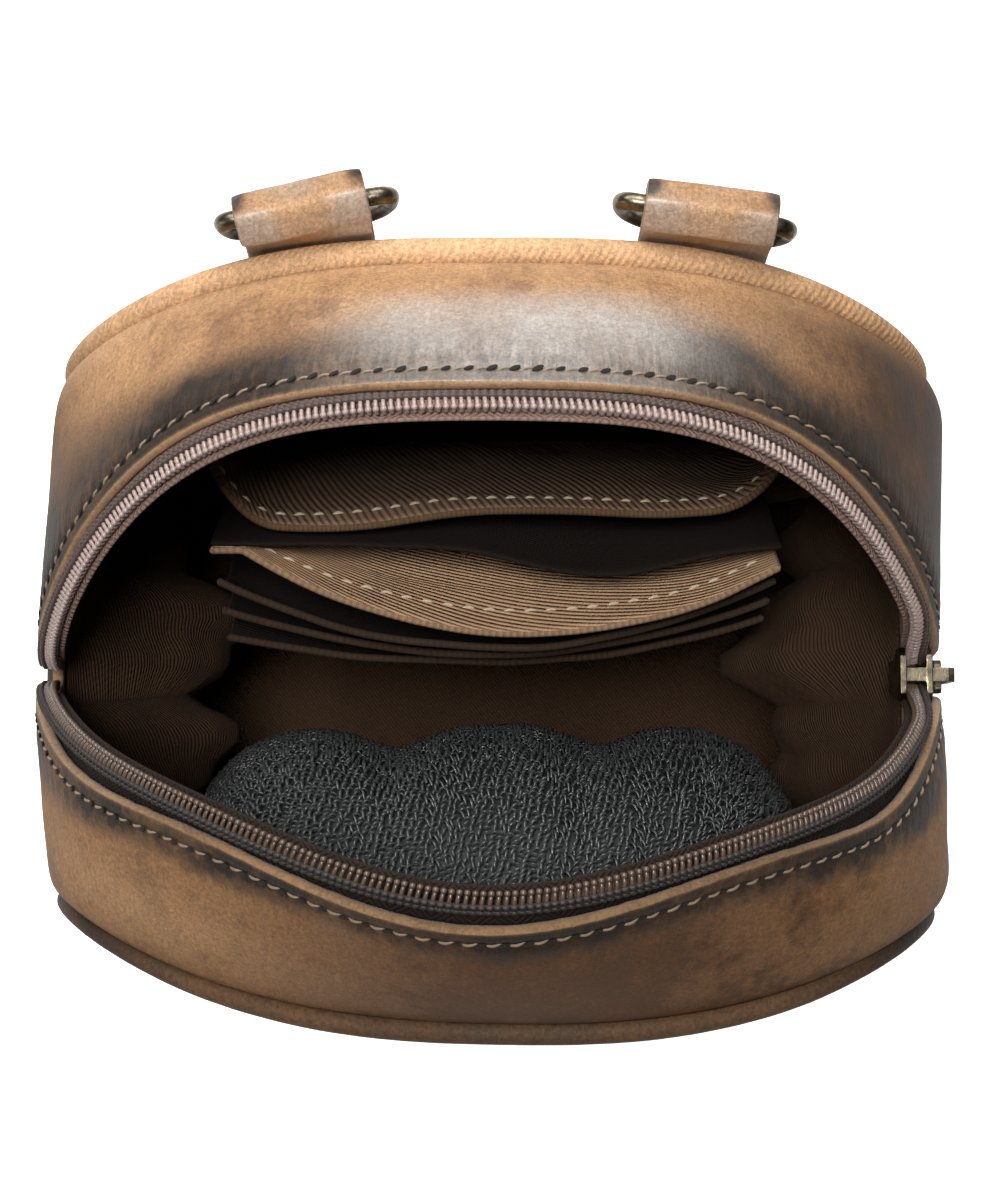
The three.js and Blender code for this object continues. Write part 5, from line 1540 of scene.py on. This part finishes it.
def make_face_lining(name, node, face, cloth):
    distances = rim_stations(LINING_COLUMNS)
    parts = np.linspace(0, 1, FACE_LINING_ROWS)
    rows = []
    for part in parts:
        spot = face_point(face, distances, part, LINING_RIM_INSET)
        spot[:, 1] -= face["side"] * (LEATHER + GAP)
        rows.append(spot)
    points = np.array(rows)
    toward = np.array([0, face["side"], 0.0])
    calm = (1 - parts ** 6)[:, None] * np.ones(len(distances))
    wave = noise_grid(points, 30, 51.0) + 0.4 * noise_grid(points, 11, 53.0)
    sag = -np.abs(wave) * cloth.wrinkle / MM * 1.3
    points = points + toward * (sag * calm)[..., None]
    flat = np.stack([points[..., 0], points[..., 2]], axis=-1)
    cloth_piece(name, node, points, toward, "twill", flat=flat, wrap=True)


def make_top_lining(name, node, face, arch):
    u = np.linspace(-TOP_LINING_REACH, TOP_LINING_REACH, LINING_COLUMNS)
    rows = []
    for w in np.linspace(0.08, 0.8, TOP_LINING_ROWS):
        point, normal = top_half(face, arch, u, np.full(len(u), w))
        rows.append(point - normal * (LEATHER + GAP + 0.15))
    points = np.array(rows)
    _, toward = top_half(face, arch, u, np.full(len(u), 0.5))
    calm = np.sin(np.linspace(0.15, 1, TOP_LINING_ROWS) * math.pi * 0.9)[:, None] * np.ones(len(u))
    points = points - toward * (np.abs(noise_grid(points, 16, 57.0)) * 1.2 * calm)[..., None]
    cloth_piece(name, node, points, toward, "twill")


def make_gusset_lining(cloth):
    first = ZIP_END_DISTANCE + GUSSET_LINING_TUCK
    distances = np.linspace(first, 2 * HALF_LENGTH - first, GUSSET_LINING_COLUMNS)
    v = np.linspace(-GUSSET_LINING_REACH, GUSSET_LINING_REACH, GUSSET_LINING_ROWS)
    d, across = np.meshgrid(distances, v, indexing="ij")
    points = lower_strip(d, across, LINING_FULLNESS)
    toward = away_from_axis(points)
    points = points - skin_towards(points, toward) * (LEATHER + GAP + 0.1)
    from_end = np.minimum(d, 2 * HALF_LENGTH - d) - ZIP_END_DISTANCE
    fold = smooth(from_end, 0, SLACK_LOW) * (1 - smooth(from_end, SLACK_LOW, 2.1 * SLACK_LOW))
    side = np.sign(points[..., 0])
    pleat = 1 + 0.22 * np.sin(points[..., 1] * 0.21 + side * 0.8) + 0.1 * np.sin(points[..., 1] * 0.47 + 1.3)
    inwards = SLACK_DEPTH * fold * np.cos(across * math.pi / 2) * pleat
    points[..., 0] -= side * inwards
    points[..., 2] -= 0.3 * inwards
    calm = smooth(1 - np.abs(across), 0.05, 0.3) * smooth(from_end, 0, 14)
    base = smooth(points[..., 2], 14, 5)
    skin = skin_towards(points, toward)
    wave = np.abs(noise_grid(points, 24, 61.0)) + 0.5 * np.abs(noise_grid(points, 9, 63.0))
    points = points - skin * (wave * calm * (1 - 0.6 * base) * cloth.wrinkle / MM * 1.7)[..., None]
    cloth_piece("lining_sides", "lining_gusset", points, toward, "twill")


def make_slip_pocket(cloth):
    points, x, rise = pocket_grid(SLIP["half_width"], SLIP["low"], SLIP["top"], slip_depth, *SLIP_GRID)
    calm = smooth(rise, 0, 0.3) * smooth(SLIP["half_width"] - np.abs(x), 0, 14)
    wave = noise_grid(points, 26, 71.0) * cloth.wrinkle / MM * 1.2 * calm
    points[..., 1] += wave
    points[..., 2] += noise_grid(points, 30, 72.0) * 1.1 * calm * rise
    hem = smooth(rise, 0.86, 0.9)
    thickness = CLOTH_WALL + 0.7 * hem
    points[..., 1] -= 0.3 * hem
    # The slip pocket and its hem edge take lighter copies of the twill: painted light.
    cloth_piece("slip_pocket_cloth", "slip_pocket", points, TOWARD_FRONT, "band",
                thickness=thickness, edge="twill_edge_painted_light")
    sew_hem("slip_pocket_hem_stitches", points, TOWARD_FRONT, thickness, **SLIP_HEM)


def make_organiser():
    """Back panel, front flap and three card slots of the organiser."""
    half = POCKET_HALF_WIDTH
    points, x, rise = pocket_grid(half, ORGANISER_LOW_Z, ORGANISER_TOP_Z, card_back_depth, *ORGANISER_GRID)
    points[..., 1] += noise_grid(points, 22, 81.0) * 0.8 * rise
    # The organiser's back takes the darker copy of the twill: painted shade.
    cloth_piece("organiser_back_cloth", "card_back", points, TOWARD_FRONT, "twill_painted_shade")
    points, x, rise = pocket_grid(half, ORGANISER_LOW_Z, ORGANISER_TOP_Z, card_front_depth, *ORGANISER_GRID)
    calm = smooth(rise, 0, 0.4)
    points[..., 1] += noise_grid(points, 24, 83.0) * 0.7 * calm * smooth(half - np.abs(x), 0, 12)
    points[..., 2] += noise_grid(points, 18, 84.0) * 0.9 * rise
    thickness = CLOTH_WALL + 0.5 * smooth(rise, 0.74, 0.77)
    # The organiser's flap takes lighter copies of the twill: painted light.
    cloth_piece("organiser_flap_cloth", "card_front", points, TOWARD_FRONT, "hem",
                thickness=thickness, edge="flap_edge_painted_light")
    sew_hem("organiser_flap_stitches", points, TOWARD_FRONT, thickness, **FLAP_HEM)
    for index, slot in enumerate(CARD_SLOTS):
        def depth(x, rise, slot=slot):
            return card_slot_depth(slot, x, rise)
        points, x, rise = pocket_grid(half, ORGANISER_LOW_Z, slot["top"], depth, *CARD_SLOT_GRID)
        points[..., 1] += noise_grid(points, 20, 85.0 + index) * 0.5 * smooth(rise, 0, 0.4)
        points[..., 2] += noise_grid(points, 13, 89.0 + index) * 1.3 * rise
        # The card slots take the darker copy of the twill and darker edges: painted shade.
        cloth_piece(f"{slot['name']}_cloth", slot["name"], points, TOWARD_FRONT, "twill_painted_shade",
                    thickness=CLOTH_WALL + 0.6 * smooth(rise, 0.86, 0.9),
                    edge="slot_edge_painted_shade")


KNIT_FROM = 62.0
KNIT_ROW_PITCH = 1.15
KNIT_ROWS = 70
KNIT_COLUMNS = 120
KNIT_LOOP_SHARE = 1.02


def knit_grid(rows, columns):
    rise, x = np.meshgrid(np.linspace(0, 1, rows), np.linspace(-MESH_HALF_WIDTH, MESH_HALF_WIDTH, columns),
                          indexing="ij")
    line = smooth_curve(MESH_PROFILE, rows)
    y = np.repeat(line[:, 0:1], columns, axis=1)
    z = np.repeat(line[:, 1:2], columns, axis=1)
    z = lerp(MESH_LOW_Z, z, 1 - MESH_END_DROP * np.abs(x / MESH_HALF_WIDTH) ** 3)
    dip = sum(depth * bell(x, at, MESH_VALLEY_WIDTH) for at, depth in MESH_VALLEYS)
    dip = dip * np.sin(math.pi * rise)
    wall = CLOTH + 2 * GAP - wall_inside(FRONT, x, z)
    full = np.clip(1 - np.abs(x / MESH_HALF_WIDTH) ** 6, 0, 1) ** 0.5
    points = xyz(x, lerp(wall, np.maximum(wall, y - dip), full), z)
    wave = noise_grid(points, 20, 91.0) * 1.3 * full * np.sin(math.pi * np.clip(rise, 0.02, 0.98))
    points[..., 1] += wave
    return points


def make_knit_pocket(cloth):
    points = knit_grid(KNIT_ROWS, KNIT_COLUMNS)
    toward = np.array([0, 1.0, 0.6])
    # The ground under the loops is a near-black copy of the yarn: painted shade between and behind the loops.
    cloth_piece("knit_pocket_painted_shade_ground", "mesh_pocket", points, toward, "knit_painted_shade_ground",
                thickness=KNIT_WALL)
    skin = skin_towards(points, toward)
    rows, along, out = [], [], []
    every = np.arange(float(KNIT_COLUMNS))
    height = run_length(points[:, KNIT_COLUMNS // 2])
    levels = np.interp(np.arange(KNIT_FROM, height[-1] - 0.6, KNIT_ROW_PITCH), height, np.arange(len(height)))
    drift = noise_grid(points[40:41], 11.0, 97.0)[0] * 1.4
    for index, level in enumerate(levels):
        level_here = np.clip(level + drift * smooth(len(points) - 1 - level, 0, 3), 0, len(points) - 1.001)
        row = pick_grid(points, level_here, every)
        way = unit(pick_grid(skin, level_here, every))
        run = np.gradient(row, axis=0)
        where = evenly(row, cloth.loop / MM, 0.7 + (index % 2) * cloth.loop / MM / 2)
        where = where + 0.5 * noise_grid(pick(row, where)[None] * 4.0 + index, 3.0, 99.0)[0]
        lift = 0.15 + 0.35 * (noise_grid(pick(row, where)[None], 3.5, 95.0)[0] + 0.3)
        rows.append(pick(row, where) + pick(way, where) * lift[:, None])
        along.append(pick(run, where))
        out.append(pick(way, where))
    loops = repeat("knit_pocket_loops", TREES["knit"], np.concatenate(rows), np.concatenate(along),
                   np.concatenate(out), **{"Loop Length": cloth.loop * KNIT_LOOP_SHARE, "Slant Jitter": 1.0,
                                           "Finish": FINISH["knit"]})
    settle(loops, "bag", "knit")


# ---------------------------------------------------------------- operators


STITCH_SLANT = 0.17
STITCH_LIFT = 0.05
# Needle holes are near-black marks: painted shade in the holes.
NEEDLE_HOLE_SHADE_COLOUR = (0.012, 0.008, 0.005)
NEEDLE_HOLE_RADIUS = 0.72
TAPE_RIB_PITCH = 0.0009
FLOOR_REACH = 3.0
LIGHT_AIM = (0, 0, 0.12)
CAMERA_PLACE = (0.0008, -0.03037, 0.61985)
CAMERA_TILT = math.radians(5)


def report_missing(*keys):
    """Raises an error where an operator is run before the ones that it needs."""
    missing = [key for key in keys if key not in FINISH]
    if missing:
        raise RuntimeError(f"run Finishes first: {', '.join(missing)}")


class BAG_OT_finishes(bpy.types.Operator):
    """Builds the shader groups, the materials and the repeat trees"""

    bl_idname = "bag.finishes"
    bl_label = "Finishes"

    def execute(self, context):
        scene = context.scene
        leather, stitches, zips, cloth = scene.bag_leather, scene.bag_stitches, scene.bag_zip, scene.bag_cloth
        groups = {"mottle": make_mottle_group(), "grain": make_grain_group(), "weave": make_weave_group()}
        for key, name, options in (
                ("leather", "Waxed Leather", {}),
                ("leather_front", "Front Waxed Leather", dict(tan=leather.tan_front, mottled=3.3)),
                ("panel", "Panel Leather", dict(ribbed=True)),
                ("panel_front", "Front Panel Leather", dict(tan=leather.tan_front)),
                ("tab", "Tab Leather", dict(tan=leather.tab, relief=0.7))):
            FINISH[key] = leather_material(name, leather, groups, **options)
        FINISH["raw"] = raw_leather_material("Cut Edge", leather.raw, groups)
        FINISH["flesh"] = raw_leather_material("Flesh Side", rgba(leather.raw, 0.7), groups)
        herringbone = dict(chevron=0.0035, slope=1.0)
        for key, name, colour, pitch, options in (
                ("twill", "Lining Twill", cloth.twill, cloth.rib * 0.7, {}),
                # Lighter copies of the lining twill for the slip pocket: painted light.
                ("twill_edge_painted_light", "Hem Edge Painted Light", cloth.edge, cloth.rib * 0.6, dict(slope=1.0, furrow_shade=0.75)),
                # Darker copies of the lining twill for the organiser: painted shade.
                ("slot_edge_painted_shade", "Slot Edge Painted Shade", cloth.slot_edge_painted_shade, cloth.rib * 0.8, dict(furrow_shade=0.8)),
                # Lighter copy of the twill for the flap's edge: painted light.
                ("flap_edge_painted_light", "Flap Edge Painted Light", cloth.flap_edge_painted_light, cloth.rib * 0.8, dict(furrow_shade=0.6)),
                ("twill_painted_shade", "Organiser Twill Painted Shade", cloth.twill_painted_shade, cloth.rib, dict(slope=-0.3)),
                ("band", "Slip Pocket Twill Painted Light", cloth.band, cloth.rib * 1.35,
                 dict(slope=-3.4, lift=0.0006, furrow_shade=0.35)),
                # Lighter copy of the twill for the flap: painted light.
                ("hem", "Hem Twill Painted Light", cloth.hem, cloth.rib * 1.3, dict(slope=-0.3, lift=0.0005)),
                ("tape", "Zip Tape", zips.tape, TAPE_RIB_PITCH, herringbone),
                # Darker copy of the tape for the front half: painted shade.
                ("tape_front_painted_shade", "Front Zip Tape Painted Shade", zips.tape_front_painted_shade, TAPE_RIB_PITCH, herringbone)):
            FINISH[key] = twill_material(name, colour, groups, pitch, **options)
        for key, name, colour, roughness in (
                ("sewing", "Coil Sewing", zips.sewing, 0.6),
                ("sewing_front_painted_shade", "Front Coil Sewing Painted Shade", zips.tape_front_painted_shade, 0.6),
                # The front coil sewing takes the front tape's colour: painted shade.
                ("thread", "Leather Thread", stitches.thread, 0.6),
                ("hem_thread", "Hem Thread", stitches.hem_thread, 0.6),
                # Near-black colour of the needle holes: painted shade.
                ("hole", "Needle Hole", NEEDLE_HOLE_SHADE_COLOUR, 0.95),
                ("knit", "Knit Yarn", cloth.knit, 0.32),
                # Near-black copy of the yarn for the knit's ground: painted shade.
                ("knit_painted_shade_ground", "Knit Painted Shade Ground", rgba(cloth.knit, 0.15), 0.6)):
            FINISH[key] = thread_material(name, colour, roughness)
        FINISH["brass"] = metal_material("Antique Brass", zips.brass, zips.patina)
        FINISH["coil"] = plastic_material("Coil Nylon", zips.coil)
        # Darker copy of the nylon for the front coil: painted shade.
        FINISH["coil_front"] = plastic_material("Front Coil Nylon Painted Shade", zips.coil_front)
        TREES.update(stitch=make_stitch_tree(), hole=make_hole_tree(), coil=make_coil_tree(),
                     knit=make_knit_tree())
        return {"FINISHED"}


class BAG_OT_panels(bpy.types.Operator):
    """Makes the back and front panels with their rolled rims"""

    bl_idname = "bag.panels"
    bl_label = "Face panels"

    def execute(self, context):
        report_missing("leather", "flesh", "raw")
        make_panel("back_panel_leather", "back_panel", BACK, context.scene.bag_leather)
        make_panel("front_panel_leather", "front_panel", FRONT, context.scene.bag_leather)
        return {"FINISHED"}


class BAG_OT_gusset(bpy.types.Operator):
    """Makes the two top halves beside the zip and the strip round the sides and base"""

    bl_idname = "bag.gusset"
    bl_label = "Gusset"

    def execute(self, context):
        report_missing("leather", "flesh", "raw")
        leather, stitches = context.scene.bag_leather, context.scene.bag_stitches
        make_top_half("top_back_leather", "gusset_back", BACK, EDGE_BACK, leather, stitches, back_wax)
        make_top_half("top_front_leather", "gusset_front", FRONT, EDGE_FRONT, leather, stitches, front_wax)
        make_base_strip(leather)
        return {"FINISHED"}


class BAG_OT_stitches(bpy.types.Operator):
    """Sews the line of stitches along each zip edge"""

    bl_idname = "bag.stitches"
    bl_label = "Leather stitches"

    def execute(self, context):
        report_missing("thread", "hole")
        leather, stitches = context.scene.bag_leather, context.scene.bag_stitches
        for name, face, arch in (("back", BACK, EDGE_BACK), ("front", FRONT, EDGE_FRONT)):
            line, run, out = stitch_line(face, arch, leather, stitches)
            sewn = repeat(f"stitches_{name}", TREES["stitch"], line + unit(out) * STITCH_LIFT, run, out,
                          **{"Stitch Length": stitches.length, "Thread Radius": stitches.radius,
                             "Slant": STITCH_SLANT, "Finish": FINISH["thread"]})
            settle(sewn, "bag", "leather")
            between = line + unit(run) * stitches.pitch / MM / 2
            # Dark marks between the stitches: painted shade of the needle holes.
            holes = repeat(f"needle_holes_{name}", TREES["hole"], between[:-1], run[:-1], out[:-1],
                           **{"Radius": NEEDLE_HOLE_RADIUS * MM, "Finish": FINISH["hole"]})
            settle(holes, "bag", "leather")
        return {"FINISHED"}


class BAG_OT_zip(bpy.types.Operator):
    """Makes the tapes and the two rows of coil"""

    bl_idname = "bag.zip"
    bl_label = "Zip tapes and coils"

    def execute(self, context):
        report_missing("tape", "coil")
        make_tape("tape_back_cloth", "zip_tape_back", BACK, EDGE_BACK, COIL_BACK)
        make_tape("tape_front_cloth", "zip_tape_front", FRONT, EDGE_FRONT, COIL_FRONT)
        make_coil("coil_back_turns", "zip_coil_back", EDGE_BACK, COIL_BACK, context.scene.bag_zip)
        make_coil("coil_front_turns", "zip_coil_front", EDGE_FRONT, COIL_FRONT, context.scene.bag_zip)
        return {"FINISHED"}


class BAG_OT_slider(bpy.types.Operator):
    """Makes the slider and its pull with eased edges"""

    bl_idname = "bag.slider"
    bl_label = "Slider and pull"

    def execute(self, context):
        report_missing("brass")
        settle(metal_copy("slider_brass", "zip_slider"), "bag", "brass", "zip_slider")
        settle(metal_copy("pull_brass", "zip_pull"), "pull", "brass", "zip_pull")
        return {"FINISHED"}


class BAG_OT_tabs(bpy.types.Operator):
    """Folds the two strap tabs round their bars and bends the D rings"""

    bl_idname = "bag.tabs"
    bl_label = "Strap tabs and rings"

    def execute(self, context):
        report_missing("tab", "brass", "thread")
        for side in ("left", "right"):
            make_tab(side)
            make_ring(side)
        return {"FINISHED"}


class BAG_OT_linings(bpy.types.Operator):
    """Hangs the lining inside the leather"""

    bl_idname = "bag.linings"
    bl_label = "Linings"

    def execute(self, context):
        report_missing("twill")
        cloth = context.scene.bag_cloth
        make_face_lining("lining_back_wall", "lining_back", BACK, cloth)
        make_face_lining("lining_front_wall", "lining_front", FRONT, cloth)
        make_top_lining("lining_top_back_cloth", "lining_top_back", BACK, EDGE_BACK)
        make_top_lining("lining_top_front_cloth", "lining_top_front", FRONT, EDGE_FRONT)
        make_gusset_lining(cloth)
        return {"FINISHED"}


class BAG_OT_pockets(bpy.types.Operator):
    """Hangs the slip pocket and the card organiser on the back wall"""

    bl_idname = "bag.pockets"
    bl_label = "Cloth pockets"

    def execute(self, context):
        report_missing("twill", "hem", "hem_thread")
        make_slip_pocket(context.scene.bag_cloth)
        make_organiser()
        return {"FINISHED"}


class BAG_OT_knit(bpy.types.Operator):
    """Knits the pocket that hangs under the front of the zip"""

    bl_idname = "bag.knit"
    bl_label = "Knitted pocket"

    def execute(self, context):
        report_missing("knit", "knit_painted_shade_ground")
        make_knit_pocket(context.scene.bag_cloth)
        return {"FINISHED"}


class BAG_OT_stage(bpy.types.Operator):
    """Sets out the floor, the lights and the camera"""

    bl_idname = "bag.stage"
    bl_label = "Floor, lights and camera"

    def execute(self, context):
        scene, stage = context.scene, context.scene.bag_stage
        material, n, bsdf = material_tree("Pale Floor")
        bsdf.inputs["Base Color"].default_value = rgba(stage.floor)
        bsdf.inputs["Roughness"].default_value = 0.9
        bsdf.inputs["Emission Color"].default_value = (1, 1, 1, 1)
        seen = n.add("ShaderNodeLightPath").outputs["Is Camera Ray"]
        n.feed(bsdf.inputs["Emission Strength"], n.math("MULTIPLY_ADD", seen, 0.7, 0.03))
        corners = [(x * FLOOR_REACH, y * FLOOR_REACH, 0) for x, y in ((-1, -1), (1, -1), (1, 1), (-1, 1))]
        floor = new_object("floor", corners, [(0, 1, 2, 3)], [material], smooth_faces=False)
        world = bpy.data.worlds.new("Studio")
        world.use_nodes = True
        world.node_tree.nodes["Background"].inputs[0].default_value = (1.0, 1.0, 1.0, 1)
        world.node_tree.nodes["Background"].inputs[1].default_value = stage.ambient
        scene.world = world
        scene.view_settings.view_transform = "Standard"
        lights = (("key", (-0.42, 0.62, 0.85), 0.55, stage.key), ("side", (-0.95, -0.25, 0.4), 0.6, stage.side),
                  ("top", (-0.1, 0.02, 1.25), 0.3, stage.top), ("rear", (0.05, 0.8, 0.85), 0.7, stage.rear))
        for name, place, size, power in lights:
            data = bpy.data.lights.new(name, "AREA")
            data.shape = "DISK"
            data.size = size
            data.energy = power
            lamp = bpy.data.objects.new(name, data)
            lamp.location = place
            lamp.rotation_euler = (Vector(LIGHT_AIM) - Vector(place)).to_track_quat("-Z", "Y").to_euler()
            scene.collection.objects.link(lamp)
        camera = bpy.data.objects.new("camera", bpy.data.cameras.new("camera"))
        camera.data.sensor_fit = "VERTICAL"
        camera.data.sensor_height = 36
        camera.data.lens = stage.lens
        camera.location = CAMERA_PLACE
        camera.rotation_euler = (CAMERA_TILT, 0, 0)
        scene.collection.objects.link(camera)
        scene.camera = camera
        return {"FINISHED"}


OPERATORS = (BAG_OT_finishes, BAG_OT_panels, BAG_OT_gusset, BAG_OT_stitches, BAG_OT_zip, BAG_OT_slider,
             BAG_OT_tabs, BAG_OT_linings, BAG_OT_pockets, BAG_OT_knit, BAG_OT_stage)


class BAG_PT_panel(bpy.types.Panel):
    """Lists the steps that build the bag"""

    bl_idname = "BAG_PT_panel"
    bl_label = "Crossbody Bag"
    bl_space_type = "VIEW_3D"
    bl_region_type = "UI"
    bl_category = "Bag"

    def draw(self, context):
        for operator in OPERATORS:
            self.layout.operator(operator.bl_idname)
        for key, kind in SETTINGS.items():
            part = self.layout.box()
            part.label(text=kind.__doc__)
            for name in kind.__annotations__:
                part.prop(getattr(context.scene, key), name)


CLASSES = (*SETTINGS.values(), *OPERATORS, BAG_PT_panel)


def register():
    for item in CLASSES:
        bpy.utils.register_class(item)
    for key, kind in SETTINGS.items():
        setattr(bpy.types.Scene, key, bpy.props.PointerProperty(type=kind))


def unregister():
    for key in SETTINGS:
        delattr(bpy.types.Scene, key)
    for item in reversed(CLASSES):
        bpy.utils.unregister_class(item)


def main():
    register()
    for operator in OPERATORS:
        group, name = operator.bl_idname.split(".")
        getattr(getattr(bpy.ops, group), name)()


if __name__ == "__main__":
    main()
